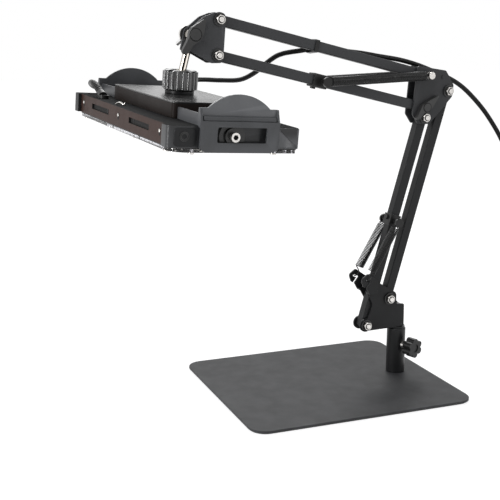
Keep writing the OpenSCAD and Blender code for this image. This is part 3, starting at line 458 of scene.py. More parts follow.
def wire(name, line, diameter, material, sides=6, widths=None):
    """A round tube along the points: a curve with a round bevel, turned into a mesh.
    widths gives the tube's width at each point as a share of the diameter."""
    curve = bpy.data.curves.new(name, "CURVE")
    curve.dimensions = "3D"
    curve.bevel_depth = diameter / 2
    curve.bevel_resolution = sides
    curve.use_fill_caps = True
    spline = curve.splines.new("POLY")
    spline.points.add(len(line) - 1)
    for point, co, width in zip(spline.points, line, widths or [1] * len(line)):
        point.co, point.radius = (*co, 1), width
    drawn = bpy.data.objects.new(name + "_line", curve)
    mesh = bpy.data.meshes.new_from_object(drawn)
    bpy.data.objects.remove(drawn)
    mesh.materials.clear()
    mesh.materials.append(material)
    for face in mesh.polygons:
        face.use_smooth = len(face.vertices) == 4
    made = bpy.data.objects.new(name, mesh)
    bpy.context.scene.collection.objects.link(made)
    return made


def arc_length(line):
    return sum((b - a).length for a, b in zip(line, line[1:]))


def cut(line, low, high):
    """The points of the line between two shares of its length."""
    total, run, kept = arc_length(line), 0.0, []
    ends = [low * total, high * total]
    for a, b in zip(line, line[1:]):
        step = (b - a).length
        for end in ends:
            if run <= end < run + step:
                kept.append(a.lerp(b, (end - run) / step))
        run += step
        if ends[0] < run < ends[1]:
            kept.append(b.copy())
    return kept


print("cord tools ready")

# %% [markdown]
# ## The way of the cord
# The mains cord leaves the gland on the lamp, loops round behind it, and is tied to the far side
# of the top bar. From there it passes over the elbow and hangs to the table. The points lie on
# its middle line, in millimetres, and no bend is tighter than a real cord would take.

# %% The route from the gland to the table
GLAND_AT, GLAND_LONG, GLAND_RISE = Vector((-49.1, 74.8, -24.65)), 9.9, math.radians(21)
gland_axis = Vector((0, math.cos(GLAND_RISE), math.sin(GLAND_RISE)))
gland_way = (LAMP.to_3x3() @ gland_axis).normalized()
gland_mouth = LAMP @ (GLAND_AT + GLAND_LONG * gland_axis) / MM
TABLE = 2.7  # height of the cord's middle where it lies on the table
route = [
    gland_mouth, gland_mouth + 5 * gland_way,
    (-304, 86, 316), (-304, 99, 317), (-302, 113, 314.5), (-295, 125, 310.5), (-282, 131.5, 309),
    (-260, 133, 309), (-238, 133, 310.5), (-216, 129, 313), (-200, 121, 315), (-184, 109, 316.5),
    (-168, 89, 316.5),
    (-155.3, 67, 318), (-147, 48.5, 325.5), (-140.4, 34, 335.2), (-134.6, 23, 342.3), (-129.7, 16.2, 345.4),
    (-123.5, 10.6, 347.1), (-116.2, 6.4, 348.3), (-108.3, 3.9, 349.6), (-100, 3, 350.2), (-90, 3.1, 349.5),
    (-72, 4.6, 348), (-48, 6.5, 345.5), (-26, 8.5, 342), (0, 11.5, 338), (22, 13, 332.5), (42, 13.5, 325.5),
    (65, 14, 316.5), (84, 15, 305), (106, 16, 285.5), (123, 17, 266), (136, 18, 248), (150, 19, 224),
    (163, 20, 196), (175, 20, 164), (186, 20, 130), (196, 20, 96), (206, 19, 62), (216, 18, 34), (226, 16, 13),
    (237, 14.7, 4.6), (248, 14.7, TABLE), (256.8, 14.7, TABLE),
]  # fmt: skip
print("points on the route:", len(route))

# %% [markdown]
# ## The coil
# What the picture doesn't need lies in a coil of two layers. The cord winds inwards on the
# table, climbs once in half a turn, and winds outwards again on top, so its end comes out
# where the plug can lie beside it.

# %% The coil of what is left over
COIL_WIDTH, COIL_TURNS, COIL_STEP = 58.0, 5, 6.0
COIL_POINTS, COIL_CLIMB = 48, 0.5  # points to a turn, and the turns that the climb takes
layer_turns = (COIL_TURNS - COIL_CLIMB) / 2
coil_outside = COIL_WIDTH / 2 + COIL_STEP * layer_turns / 2
coil_centre = Vector((262, 14.7 + coil_outside, 0))
coil_line = []
for k in range(COIL_TURNS * COIL_POINTS + 1):
    t = k / COIL_POINTS
    angle = math.radians(360 * t - 90)
    radius = coil_outside - COIL_STEP * min(t, COIL_TURNS - t)
    height = TABLE + COIL_STEP * min(max((t - layer_turns) / COIL_CLIMB, 0), 1)
    coil_line.append(coil_centre + Vector((radius * math.cos(angle), radius * math.sin(angle), height)))
plug_place = Vector((coil_line[-1].x + 34, coil_line[-1].y, 7.8))
straight = Vector((5, 0, 0))
coil_line = [coil_line[0] - straight, *coil_line, coil_line[-1] + straight, plug_place - straight, plug_place]
coil_line = [p * MM for p in coil_line]
print("cord in the coil, metres:", round(arc_length(coil_line), 3))

# %% [markdown]
# ## Laying the cord
# The cord is cut where it crosses a joint. A stretch on one part rides on it, and a stretch
# between two parts stays where it is laid.

# %% Lay the cord in pieces that follow the joints
STEPS = 5
whole = spline_through([Vector(p) * MM for p in route], STEPS)
cord_lengths = []


def lay(name, line, replaced, bodies):
    """One stretch of the cord, which rides on a body or stays where it lies between the two sides of a joint."""
    made = wire(name, line, CORD, cord_jacket)
    if isinstance(bodies, tuple):
        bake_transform(made)
    else:
        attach(made, bodies)
    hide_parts(replaced)
    arc_length(line)  # fmt: skip
    cord_lengths.append(arc_length(line))


stretches = [
    ("cord_in_sleeve", 0, 3, "cord_lamp", "lamp"),
    ("cord_from_gland", 3, 6, "cord_lamp", ("lamp", "cup")),
    ("cord_behind_lamp", 6, 10, "cord_lamp", ("cup", "rod")),
    ("cord_to_head", 10, 13, "cord_lamp", ("rod", "head")),
    ("cord_to_bar", 13, 18, "cord_lamp", ("head", "top_upper_bar")),
    ("cord_on_bar", 18, 25, "cord_arm", "top_upper_bar"),
    ("cord_over_elbow", 25, 28, "cord_elbow", ("top_upper_bar", "mid_joint")),
    ("cord_past_elbow", 28, 30, "cord_drop", ("mid_joint", "front_lower_bar")),
    ("cord_hanging", 30, 38, "cord_drop", ("front_lower_bar", "swivel")),
    ("cord_at_table", 38, 44, "cord_drop", ("swivel", "base")),
]
for name, first, last, solid, bodies in stretches:
    lay(name, whole[first * STEPS : last * STEPS + 1], solid, bodies)
lay("cord_coil_laid", coil_line, "cord_coil", "base")
print("cord, metres:", round(sum(cord_lengths), 3))

# %% [markdown]
# ## The floor
# The lamp stands on a light table, as in a catalogue. The floor glows a little by itself, so it
# stays white and still takes soft shadows.

# %% A floor that glows
floor_mesh = bpy.data.meshes.new("floor")
work = bmesh.new()
FLOOR_HALF = 6  # metres
bmesh.ops.create_grid(work, x_segments=1, y_segments=1, size=FLOOR_HALF)
work.to_mesh(floor_mesh)
work.free()
floor = bpy.data.objects.new("floor", floor_mesh)
bpy.context.scene.collection.objects.link(floor)
glow = {"Emission_Color": (1, 1, 1, 1), "Emission_Strength": 0.72}
floor_mesh.materials.append(finish("floor_paint", (0.3, 0.3, 0.305, 1), 0.75, **glow))
print("floor, metres wide:", 2 * FLOOR_HALF)

# %% [markdown]
# ## The room
# On black pieces light is seen mostly as reflections, and a room that is white all round would
# turn them grey. Two dark curtains hang where the housing and the tubes mirror them. The camera
# doesn't see them, so the background stays white.

# %% White walls and dark curtains
room = bpy.data.worlds.new("room")
bpy.context.scene.world = room
room.use_nodes = True
tree = room.node_tree
sky = node(tree, "ShaderNodeTexCoord", {}, {}, "Generated")
east, north, up = (node(tree, "ShaderNodeSeparateXYZ", {}, {"Vector": sky}, axis) for axis in "XYZ")


def curtain(heading, width, low, high):
    """1 inside it; heading from +X and width in degrees, low and high as z of the direction."""
    c, s = math.cos(math.radians(heading)), math.sin(math.radians(heading))
    facing = (east * c + north * s) / ((east * east + north * north) ** 0.5 + 0.001)
    edge = math.cos(math.radians(width / 2))
    sides, hem = facing.above(edge - 0.03, edge + 0.03), up.above(low - 0.04, low + 0.04)
    return sides * hem * (1 - up.above(high - 0.05, high + 0.05))


dark = curtain(-20, 60, 0.02, 0.75) + curtain(-111, 70, -0.05, 0.6)
seen = node(tree, "ShaderNodeLightPath", {}, {}, "Is Camera Ray")
white_wall = 1 - dark.clipped() * (1 - seen) * 0.93
tone = mixed(tree, white_wall, (0, 0, 0, 1), (1, 1, 1, 1))
tree.links.new(tone.socket, tree.nodes["Background"].inputs["Color"])
tree.nodes["Background"].inputs["Strength"].default_value = 1.0
print("room nodes:", len(tree.nodes))

# %% [markdown]
# ## Soft boxes
# A wide box high on the left is the main light, and a weaker one on the right fills the
# shadows. A narrow strip on the left draws thin bright lines on round pieces, and a box behind
# the lamp lights the tops.


# %% Four soft boxes
def soft_box(name, at, aim, width, height, power):
    """A rectangular light, sizes in metres and power in watts, that looks at a point."""
    light = bpy.data.lights.new(name, "AREA")
    light.shape, light.size, light.size_y, light.energy = "RECTANGLE", width, height, power
    made = bpy.data.objects.new(name, light)
    bpy.context.scene.collection.objects.link(made)
    made.location = at
    made.rotation_euler = (Vector(aim) - Vector(at)).to_track_quat("-Z", "Y").to_euler()


soft_box("key", (-1.3, -0.9, 1.5), (-0.1, 0, 0.25), 1.5, 1.2, 12)
soft_box("fill", (1.3, -0.8, 0.9), (0, 0, 0.25), 0.5, 0.9, 6)
soft_box("strip", (-1.2, -0.35, 0.5), (-0.15, 0, 0.25), 0.09, 0.7, 6)
soft_box("back", (0.2, 1.3, 1.2), (-0.1, 0, 0.3), 1.2, 0.5, 9)
print("soft boxes:", len(bpy.data.lights))

# %% [markdown]
# ## Edges that catch the light
# No edge on a real part is perfectly sharp: sheet metal is tumbled before it is coated, and
# moulded parts have small radii. The loose triangles of a solid are merged and its flat faces
# joined, and then a narrow bevel on the sharp edges gives each one its thin bright line.


# %% A bevelled copy of a solid
SHARP = math.radians(34)  # an edge that turns more than this is rounded
bodies_of = {n: body for body, names in frame["record"]["behaviour"]["bodies"].items() for n in names}


def cleaned(solid):
    """A copy of a solid with its points merged and its flat faces joined."""
    work = bmesh.new()
    work.from_mesh(solid.data)
    bmesh.ops.remove_doubles(work, verts=work.verts, dist=0.002 * MM)
    bmesh.ops.dissolve_degenerate(work, dist=0.001 * MM, edges=work.edges)
    bmesh.ops.dissolve_limit(
        work, angle_limit=math.radians(0.6), use_dissolve_boundaries=False, verts=work.verts, edges=work.edges
    )
    return work


def shown(name, work, material):
    """A piece with smooth shading from a shape that is ready."""
    mesh = bpy.data.meshes.new(name)
    work.to_mesh(mesh)
    work.free()
    mesh.materials.append(material)
    for face in mesh.polygons:
        face.use_smooth = True
    piece = bpy.data.objects.new(name, mesh)
    bpy.context.scene.collection.objects.link(piece)
    return piece


def rounded(piece, width, segments, harden):
    """Rounds the sharp edges of a piece; width in mm."""
    edge = piece.modifiers.new("edge", "BEVEL")
    edge.width, edge.segments, edge.limit_method = width * MM, segments, "ANGLE"
    edge.angle_limit, edge.harden_normals, edge.use_clamp_overlap = SHARP, harden, True
    return edge


def bevelled(names, material, width=0.3, segments=2):
    """Replaces each named solid with a copy whose sharp edges are rounded; width in mm."""
    made = []
    for name in names.split():
        piece = shown(name + "_finished", cleaned(frame["nodes"][name]), material)
        rounded(piece, width, segments, False).miter_outer = "MITER_ARC"
        flats = piece.modifiers.new("flats", "WEIGHTED_NORMAL")
        flats.weight, flats.keep_sharp = 100, True
        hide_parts(name)
        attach(piece, bodies_of[name])
        made.append(piece)
    return made


def coat(names, material):
    """Gives solids that stay as they are their finish."""
    for name in names.split():
        mesh = frame["nodes"][name].data
        mesh.materials.clear()
        mesh.materials.append(material)


def second_finish(piece, material, where, picked):
    """Gives a second finish to the faces whose middle, in the frame `where`, is picked."""
    piece.data.materials.append(material)
    back = where.inverted()
    for face in piece.data.polygons:
        if picked(back @ face.center):
            face.material_index = len(piece.data.materials) - 1


# %% [markdown]
# ## Tools for small parts
# Most small parts are either turned, like a washer, or cut from flat stock, like a panel. Two
# helpers make those with bmesh operators: one spins a profile about z, the other extrudes a
# rectangle whose corners were bevelled. Others join shapes and put them in their place.


# %% Turned parts, flat parts, and their place
def turned(profile, steps=28):
    """Spins a profile of (radius, height) pairs about z."""
    work = bmesh.new()
    corners = [work.verts.new((r, 0, z)) for r, z in profile]
    lines = [work.edges.new(pair) for pair in zip(corners, corners[1:])]
    bmesh.ops.spin(
        work, geom=corners + lines, cent=(0, 0, 0), axis=(0, 0, 1), dvec=(0, 0, 0), angle=math.tau, steps=steps,
        use_merge=True, use_normal_flip=False, use_duplicate=False,
    )  # fmt: skip
    bmesh.ops.remove_doubles(work, verts=work.verts, dist=1e-4)
    bmesh.ops.dissolve_degenerate(work, dist=1e-5, edges=work.edges)
    bmesh.ops.recalc_face_normals(work, faces=work.faces)
    return work


def tile(width, height, corner, thick):
    """A flat plate with rounded corners, from z = 0 up to its thickness."""
    work = bmesh.new()
    bmesh.ops.create_grid(work, x_segments=1, y_segments=1, size=0.5)
    bmesh.ops.scale(work, vec=(width, height, 1), verts=work.verts)
    if corner:
        bmesh.ops.bevel(
            work, geom=work.verts[:], offset=corner, offset_type="OFFSET", segments=4, profile=0.5, affect="VERTICES",
            material=-1,
        )  # fmt: skip
    raised = bmesh.ops.extrude_face_region(work, geom=work.faces[:])["geom"]
    lifted = [g for g in raised if isinstance(g, bmesh.types.BMVert)]
    bmesh.ops.translate(work, vec=(0, 0, thick), verts=lifted)
    bmesh.ops.recalc_face_normals(work, faces=work.faces)
    return work


def joined(works):
    """One mesh from several."""
    whole_mesh = bmesh.new()
    for work in works:
        part = bpy.data.meshes.new("part")
        work.to_mesh(part)
        work.free()
        whole_mesh.from_mesh(part)
        bpy.data.meshes.remove(part)
    return whole_mesh


def moved(work, *steps):
    """The same shape after one move and then the next."""
    for step in steps:
        bmesh.ops.transform(work, matrix=step, verts=work.verts)
    return work


def added(name, work, where, material, body, edge=0.0, segments=2):
    """Puts a shape in its place as a piece of its own; edge is the width of its bevel in mm."""
    piece = shown(name, moved(work, where), material)
    if edge:
        rounded(piece, edge, segments, True)
    else:
        piece.data.set_sharp_from_angle(angle=SHARP)
    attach(piece, body)
    return piece


# %% [markdown]
# ## The base
# A laser cut steel plate with a textured powder coat lies on a thin foam pad. The post is a
# turned bar, and a star knob on its side clamps the swivel.

# %% Plate, pad, post and knob
bevelled("base_plate", coat_plate, 0.5, 3)
bevelled("base_pad", soft_foam, 0.2)
bevelled("post", coat_post, 0.4, 3)
coat("post_screw", zinc)
bevelled("star_knob", black_plastic, 0.9, 4)
bevelled("star_knob_stud", zinc, 0.3)
bevelled("swivel_block", coat_post, 0.4, 3)

# %% [markdown]
# ## Plates and tubes of the arm
# The plates are cut from sheet and the bars are square tube. They are black and matt, lighter
# on the upper arm and lightest at the head. Each of the two round caps gets a thin dark ring of
# painted shade that stands for a groove, and the far end of the tilt bolt is bare zinc.

# %% Plates and tubes
PLATE_FACE, CAP_FACE = 8.5, 12.5  # mm from the middle plane of the arm
GROOVE_DEEP, GROOVE_WIDE = 0.12, 0.8
bevelled("lower_bracket_near lower_bracket_far", coat_lower, 0.35, 3)
bevelled("mid_bracket_near mid_bracket_far", coat_upper, 0.35, 3)
bevelled("head_bracket_near head_bracket_far", coat_head, 0.35, 3)
bevelled("mid_pivot_cap", knob_plastic, 0.5, 3)
tilt_bolt = bevelled("tilt_bolt", knob_plastic, 0.5, 3)[0]
second_finish(tilt_bolt, zinc, ARM, lambda p: p.z > PLATE_FACE - 0.1)
for name, body, (x, y), radius in (("mid", "mid_joint", S2, 4.1), ("tilt", "head", TILT, 5.3)):
    # painted shade: a thin dark ring on each cap stands for the shade in a groove
    outer = radius + GROOVE_WIDE
    groove_shade = turned([(radius, 0), (radius, GROOVE_DEEP), (outer, GROOVE_DEEP), (outer + 0.1, 0)])
    added(f"{name}_knob_groove_shade", moved(groove_shade, NEAR, shift(x, y, -CAP_FACE)), ARM, painted_shade_black, body)
bevelled("lower_bar_front lower_bar_rear", coat_lower, 0.8, 3)
bevelled("upper_bar_top upper_bar_bottom", coat_upper, 0.8, 3)
bevelled("mid_spacer", coat_upper, 0.2)
bevelled("head_spacers", coat_head, 0.1)
bevelled("lower_spring_clip upper_spring_clip", black_plastic, 0.4, 3)

# %% [markdown]
# ## The tie
# A closed band holds the cord to the top bar. It takes the place of the solid's plain loop,
# because a real tie lies taut round both. In each direction its outline goes as far as the
# corner of the bar or the round of the cord, whichever lies further out.

# %% The tie round the top bar and the cord
TIE_AT, TIE_LONG = 129.9, 4  # mm along the top bar
TIE_AIR, TIE_WALL, TIE_POINTS = 0.1, 1.0, 48
BAR_HALF = 5.1
tie_place = ARM @ shift(*S1, 0) @ turn(RISE, "Z") @ shift(TIE_AT, 0, 0)
beside = [q for q in (tie_place.inverted() @ p for p in whole) if -8 < q.x < 12]
cord_there = sum((q.yz for q in beside), Vector((0, 0))) / len(beside)


def tie_outline(wall):
    """The taut line round the square bar and the round cord, `wall` mm outside them."""
    line = []
    for k in range(TIE_POINTS):
        way = math.tau * (k + 0.5) / TIE_POINTS
        out = Vector((math.cos(way), math.sin(way)))
        corner = Vector((math.copysign(BAR_HALF, out.x), math.copysign(BAR_HALF, out.y)))
        round_cord = cord_there + out * (CORD / 2 / MM + TIE_AIR)
        line.append(max(corner, round_cord, key=out.dot) + out * wall)
    return line


band = bmesh.new()
outlines = [(x, tie_outline(wall)) for x in (0, TIE_LONG) for wall in (TIE_AIR, TIE_WALL)]
rings = [[band.verts.new((x, *q)) for q in outline] for x, outline in outlines]
for one, other in ((0, 1), (1, 3), (3, 2), (2, 0)):
    for k in range(TIE_POINTS):
        band.faces.new((rings[one][k - 1], rings[one][k], rings[other][k], rings[other][k - 1]))
bmesh.ops.recalc_face_normals(band, faces=band.faces)
tie = added("cord_tie", band, tie_place, black_plastic, "top_upper_bar")
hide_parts("cord_clips")
print("cord at the tie, mm from the bar:", [round(v, 2) for v in cord_there])

# %% [markdown]
# ## Bolts and nuts
# The zinc nuts are the brightest points on the arm. A black washer lies under each, and a black
# locking ring shows in its mouth. The ball and its rod are one polished piece, held by a nylon
# cup in a ribbed ring.

# %% Bolts, nuts and the ball joint
NUT_WASHER = [(5, 0), (6.3, 0), (6.3, 0.45), (6.0, 0.6), (5, 0.6)]
NUT_INSERT = [(2.55, 0), (2.55, 0.25), (3.2, 0.25), (3.4, 0)]
bevelled("lower_nuts mid_nuts head_nuts", zinc, 0.25, 2)
bevelled("lower_bolts mid_bolts head_bolts", zinc, 0.3, 2)
bevelled("wing_nut", nickel, 0.7, 4)
bevelled("ball_stud", chrome, 0.4, 3)
for name, body, centres in (
    ("lower", "swivel", (P1, P2)),
    ("mid", "mid_joint", (Q1, Q2)),
    ("head", "head", (R1, R2)),
):
    for kind, profile, face in (("washers", NUT_WASHER, PLATE_FACE), ("inserts", NUT_INSERT, CAP_FACE)):
        works = [moved(turned(profile), NEAR, shift(x, y, -face)) for x, y in centres]
        added(f"{name}_nut_{kind}", joined(works), ARM, washer_black, body)
coat("ball_cup", nylon)
bevelled("lock_ring", ring_plastic, 0.5, 3)
bevelled("ball_socket", coat_post, 0.8, 3)

# %% [markdown]
# ## Springs
# Each spring is one wire: an end ring, a close coil and another end ring. The wire is drawn
# along its middle line and given its thickness by the curve's round bevel. A spring runs
# between the two parts that it joins and stays where it is laid.


# %% Draw a spring
COIL_OUT, COIL_STEPS = 9.6, 14  # width in mm, and points to a turn
COIL_GAP = 3.0  # mm from an end ring to the close coil
LEAD_IN = ((0.5, 0.12), (1.2, 0.45), (2.0, 0.82))  # mm past the ring, share of the coil's radius


def end_ring(middle, radius, axis, side, angles):
    """Points of a ring; angle 0 looks along the axis."""
    ways = [math.radians(t) for t in angles]
    return [middle + radius * (math.cos(w) * axis + math.sin(w) * side) for w in ways]


def spring_line(first, second, first_ring, second_ring, ring_in_plane, turns, width):
    """The middle line of one spring; first and second are the middles of its end rings."""
    first, second = Vector(first), Vector(second)
    axis = (second - first).normalized()
    across = Vector((0, 0, -1 if first.z < 0 else 1))
    side = axis.cross(across)
    start, stop = first_ring + COIL_GAP, (second - first).length - second_ring - COIL_GAP
    steps = turns * COIL_STEPS
    line = end_ring(first, first_ring, axis, side if ring_in_plane else across, range(-300, -9, 15))
    line += [first + axis * (first_ring + past) + side * width / 2 * out for past, out in LEAD_IN]
    for k in range(steps + 1):
        way = math.tau * k / COIL_STEPS
        middle = first + axis * (start + (stop - start) * k / steps)
        line.append(middle + width / 2 * (math.cos(way) * side + math.sin(way) * across))
    line += [second - axis * (second_ring + past) + side * width / 2 * out for past, out in LEAD_IN[::-1]]
    line += end_ring(second, -second_ring, axis, side, range(10, 301, 15))
    return [ARM @ p for p in line]


def spring(name, first, second, rings, in_plane, turns, thick):
    """One spring of wire `thick` mm thick, laid between the two bodies that it joins."""
    line = spring_line(first, second, *rings, in_plane, turns, COIL_OUT - thick)
    made = wire(name + "_wound", line, thick * MM, spring_steel, sides=2)
    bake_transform(made)
    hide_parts(name)


print("spring tools ready")

# %% [markdown]
# ## The four springs
# Two springs pull from the hooks on the swivel to a clip on the front lower bar. Two longer
# ones of thinner wire pull from a clip on the bottom upper bar to the middle brackets. In each
# pair one spring lies on either side of the bars.

# %% Wind the four springs
HOOK = (44.2, 112.3)
SPRING_ASIDE = 12.8  # mm from the middle plane of the arm
lower_clip = along(P1, 90 + LEAN, 113.9)
upper_clip = along(S2, RISE, 122.4)
for word, z in (("near", -SPRING_ASIDE), ("far", SPRING_ASIDE)):
    spring("lower_spring_" + word, (*HOOK, z), (*lower_clip, z), (3.9, 3.4), False, 35, 1.14)
    spring("upper_spring_" + word, (*upper_clip, z), (*S1, z), (3.4, 3.4), True, 76, 1.05)

# %% [markdown]
# ## The lamp head
# A folded steel housing holds the heat sink and the LED board, and a clear cover is screwed on
# below. The driver sits in a low box on top with a glossy lid. The faces of the housing mirror
# different parts of the room, and this light is painted into copies of their coat: a brown
# painted reflection on the left side, painted shade on the top, which is also rougher, and a
# painted highlight on the near end. The top of the near end bracket gets painted light too.

# %% Housing, driver box and end brackets
HOUSE_TOP, HOUSE_LOW, HOUSE_SIDE, HOUSE_END = -26.85, -44.65, 58.6, 127.8  # mm from the ball
HOUSE_CAPS = 113.9  # its folded ends start here
END_BOLT, SOCKET = (-5.4, -34.25), 2.45  # middle of the end bolts, radius of the hexagon in them


def in_shaded_hexagon(p):
    """Whether a point lies in the hexagon of an end bolt, which is painted dark as shade."""
    reach = HOUSE_END + 6.0 < abs(p.y) < HOUSE_END + 9.6
    return reach and math.hypot(p.x - END_BOLT[0], p.z - END_BOLT[1]) < SOCKET


def on_lit_bracket_top(p):
    """Whether a point lies on the part of the near end bracket that stands above the housing, which
    gets painted light.
    """
    return p.z > HOUSE_TOP + 0.35 and -HOUSE_END - 3.2 < p.y < -HOUSE_END - 0.1


housing = bevelled("lamp_housing", coat_housing, 0.5, 3)[0]
# painted reflection: the left side gets a lighter brown coat
second_finish(housing, coat_side_painted_reflection, LAMP, lambda p: p.x < -HOUSE_SIDE + 0.3 and abs(p.y) < HOUSE_CAPS)
# painted shade: the top gets a darker, rougher coat
second_finish(housing, coat_top_painted_shade, LAMP, lambda p: p.z > HOUSE_TOP - 0.35)
# painted highlight: the near end gets a lighter coat
second_finish(housing, coat_cap_painted_highlight, LAMP, lambda p: p.z < HOUSE_TOP - 0.35 and p.y < -HOUSE_CAPS)
bevelled("driver_case", coat_case, 0.4, 3)
bevelled("driver_lid", lid_gloss, 0.35, 3)
near_bracket = bevelled("end_bracket_near end_bracket_far", coat_bracket, 0.3, 3)[0]
# painted light: the top of the near bracket is lighter, as if lit from above
second_finish(near_bracket, coat_lit_disc_and_rim, LAMP, on_lit_bracket_top)
bevelled("end_washers", washer_black, 0.4, 3)
end_bolts = bevelled("end_bolts", zinc, 0.2, 2)[0]
# painted shade: the inside of each bolt's hexagon socket is made dark
second_finish(end_bolts, painted_shade_black, LAMP, in_shaded_hexagon)
bevelled("cover_screws", zinc, 0.3, 3)
bevelled("cable_gland", black_plastic, 0.4, 3)
coat("heat_sink", heat_sink_metal)
coat("led_board", solder_mask)
coat("led_chips", led_resin)
coat("cover_gasket", seal_rubber)
bevelled("clear_cover", clear_acrylic, 0.3, 2)
coat("driver_board", board_green)

# %% [markdown]
# ## The plug
# The plug is a black block with brass pins. It is one solid, so the pins get their finish by
# where they are.

# %% Plug
plug_piece = bevelled("plug", black_plastic, 0.3, 3)[0]
second_finish(plug_piece, brass, WORLD, lambda p: p.x > plug_place.x + 34.1)

# %% [markdown]
# ## Small parts on the housing
# The left side has three keyholes with screws. Dark plates of painted shade sit in the keyholes
# and behind the vents. On the near end are a small panel with a round boss and a raised rim. A
# bent wire lies on top.

# %% Screws, vents, end panel and wire
SCREW = [(0, 0), (1.5, 0), (1.5, 0.5), (1.0, 0.9), (0.5, 0.95), (0.4, 0.6), (0, 0.6)]
BOSS = [
    (0, 0), (2.2, 0), (2.2, 0.5), (3.0, 0.5), (3.0, 0.1), (3.6, 0.1), (3.6, 0.6), (4.2, 0.6), (4.3, 0), (4.3, -0.4),
]  # fmt: skip
side_screws, keyhole_shade_plates, vent_shade_plates = [], [], []
for v in (-103.5, 0, 103.5):
    side_screws.append(moved(turned(SCREW, 20), LEFT, shift(-HOUSE_SIDE - 0.05, v, HOUSE_LOW + 10.6)))
    keyhole_shade_plates.append(moved(tile(6.4, 3.4, 1.5, 0.2), LEFT, shift(-HOUSE_SIDE + 0.1, v, HOUSE_LOW + 9.6)))
for v in (-52.9, 52.9):
    for way, u in ((LEFT, -55.9), (RIGHT, 55.9)):
        vent_shade_plates.append(moved(tile(7.5, 53, 0.5, 0.6), way, shift(u, v, HOUSE_LOW + 9.7)))
added("housing_side_screws", joined(side_screws), LAMP, zinc, "lamp")
# painted shade: dark plates in the keyholes and behind the vents
added("housing_keyhole_shades", joined(keyhole_shade_plates), LAMP, painted_shade_black, "lamp")
added("vent_shades", joined(vent_shade_plates), LAMP, painted_shade_black, "lamp")
near_end = LAMP @ shift(0, -HOUSE_END, 0)
added("end_panel", tile(19.5, 15.4, 3.2, 0.9), near_end @ shift(-46.4, 0.1, -35.9) @ END, coat_end, "lamp", 0.5, 3)
added("end_panel_boss", turned(BOSS, 32), near_end @ shift(-47.2, -0.75, -35.2) @ END, washer_black, "lamp")
rim = tile(20.5, 17.4, 0.8, 1.0)
face = max((f for f in rim.faces if f.normal.z > 0.9), key=lambda f: f.calc_area())
bmesh.ops.inset_region(rim, faces=[face], thickness=1.2, use_even_offset=True)
bmesh.ops.translate(rim, vec=(0, 0, -0.8), verts=face.verts)
half_height = (HOUSE_TOP + HOUSE_LOW) / 2
added("end_rim", rim, near_end @ shift(48.0, 0.1, half_height) @ END, coat_lit_disc_and_rim, "lamp", 0.15, 2)
clip_points = [
    (-54, 22, 0), (-53.6, 19, 1.6), (-52.6, 15, 2.6), (-51.4, 12, 1.8), (-50.2, 10.5, 0.9), (-48.6, 13, 1.9),
    (-47.4, 17, 1.4), (-47, 19, 0),
]  # fmt: skip
clip_line = spline_through([LAMP @ Vector((u, v, HOUSE_TOP + w)) for u, v, w in clip_points], 5)
clip = wire("housing_top_clip", clip_line, 1.3 * MM, zinc, 3)
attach(clip, "lamp")

# %% [markdown]
# ## The lenses of the LEDs
# Each LED has a half ball of clear resin that points down through the cover. They stand in
# rows on the board, and all of them are one piece, because none of them moves on its own.

# %% Sixty lenses
ACROSS, LENGTHWAYS = 5, 12
STEP_ACROSS, STEP_LENGTHWAYS = 93.2 / ACROSS, 221.6 / LENGTHWAYS
domes = []
for i in range(ACROSS):
    for j in range(LENGTHWAYS):
        dome = bmesh.new()
        bmesh.ops.create_uvsphere(dome, u_segments=12, v_segments=6, radius=2.2)
        ball = dome.verts[:] + dome.edges[:] + dome.faces[:]
        bmesh.ops.bisect_plane(dome, geom=ball, plane_co=(0, 0, 0.02), plane_no=(0, 0, 1), clear_outer=True)
        u, v = (i - (ACROSS - 1) / 2) * STEP_ACROSS, (j - (LENGTHWAYS - 1) / 2) * STEP_LENGTHWAYS
        domes.append(moved(dome, shift(u, v, HOUSE_LOW + 0.62)))
added("led_domes", joined(domes), LAMP, led_dome, "lamp")
print("lenses:", len(domes))

# %% [markdown]
# ## Strain relief
# A cord breaks where it is bent over a hard edge, so it leaves the gland and the plug through a
# soft tapered sleeve with ribs. The sleeve is a tube like the cord whose width steps in and out.


# %% Sleeves
def sleeve(name, line, wide, narrow, ribs, body):
    """A ribbed sleeve round a line; wide and narrow are its radii in mm, first and last."""
    total, run, smooth = arc_length(line), 0.0, []
    shares = [k / (ribs * 4) for k in range(ribs * 4 + 1)]
    for a, b in zip(line, line[1:]):
        step = (b - a).length
        smooth += [(a.lerp(b, (e * total - run) / step), e) for e in shares if run <= e * total < run + step]
        run += step
    widths = []
    for k, (_, share) in enumerate(smooth):
        rib = 1.0 if k % 4 in (0, 1) else 0.88
        widths.append((wide + (narrow - wide) * share) * rib / wide)
    tube = wire(name, [p for p, _ in smooth], 2 * wide * MM, cord_jacket, 6, widths)
    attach(tube, body)


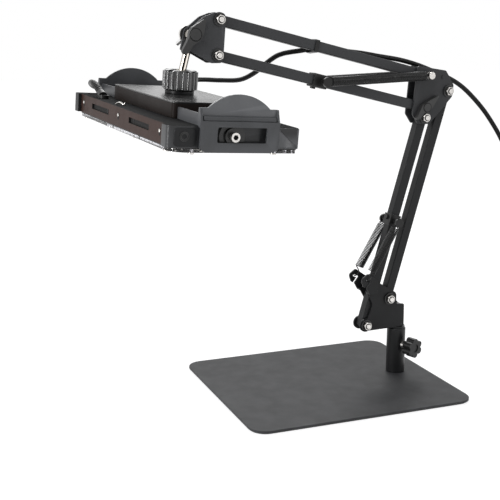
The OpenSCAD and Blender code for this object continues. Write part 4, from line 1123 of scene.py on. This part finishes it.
sleeve("gland_sleeve", cut(whole[: 3 * STEPS + 1], 0, 0.78), 3.9, 2.9, 7, "lamp")
plug_tail = [coil_line[-1] - Vector((22 * k / 24, 0, 0)) * MM for k in range(25)]
sleeve("plug_sleeve", plug_tail, 4.6, 3.0, 7, "base")

# %% [markdown]
# ## The strap of the coil
# One soft strap holds the coil together. It is a flat block with rounded corners that is opened
# from both sides, so that a closed loop stays, and it is as high and as wide as the turns it
# goes round.

# %% A strap round the coil
AROUND = 2.6  # mm from the middle of a cord to the inside of the strap
STRAP_WALL, STRAP_WIDE = 0.8, 8
beside = [p / MM - coil_centre for p in coil_line[2:-3]]
crossing = [(p.xy.length, p.z) for p in beside if p.x > 0 and abs(p.y) < 2]
inner, outer = min(r for r, _ in crossing) - AROUND, max(r for r, _ in crossing) + AROUND
tie_height = max(z for _, z in crossing) + AROUND
strap = tile(outer - inner + 2 * STRAP_WALL, tie_height + 0.6, 2.4, STRAP_WIDE)
for face in [f for f in strap.faces if abs(f.normal.z) > 0.9]:
    bmesh.ops.inset_region(strap, faces=[face], thickness=STRAP_WALL, use_even_offset=True)
middles = [f for f in strap.faces if abs(f.normal.z) > 0.9 and len(f.verts) > 4]
rims = [e for f in middles for e in f.edges]
bmesh.ops.delete(strap, geom=middles, context="FACES_ONLY")
bmesh.ops.bridge_loops(strap, edges=rims)
bmesh.ops.recalc_face_normals(strap, faces=strap.faces)
moved(strap, shift(0, 0, -STRAP_WIDE / 2), turn(90, "X"))
strap_place = WORLD @ shift(coil_centre.x + (inner + outer) / 2, coil_centre.y, tie_height / 2 + 0.32)
added("coil_tie", strap, strap_place, soft_strap, "base")

# %% [markdown]
# ## The grips of the plug
# Five ribs on each side of the plug give the fingers a hold.

# %% Grips
grips = []
for side in (-1, 1):
    for k in range(5):
        at = plug_place + Vector((17.5 + 3.2 * k, side * 11.9, 0))
        grips.append(moved(tile(1.6, 9.5, 0.7, 0.9), turn(-90 * side, "X"), shift(*at)))
added("plug_grips", joined(grips), WORLD, black_plastic, "base", 0.2, 2)
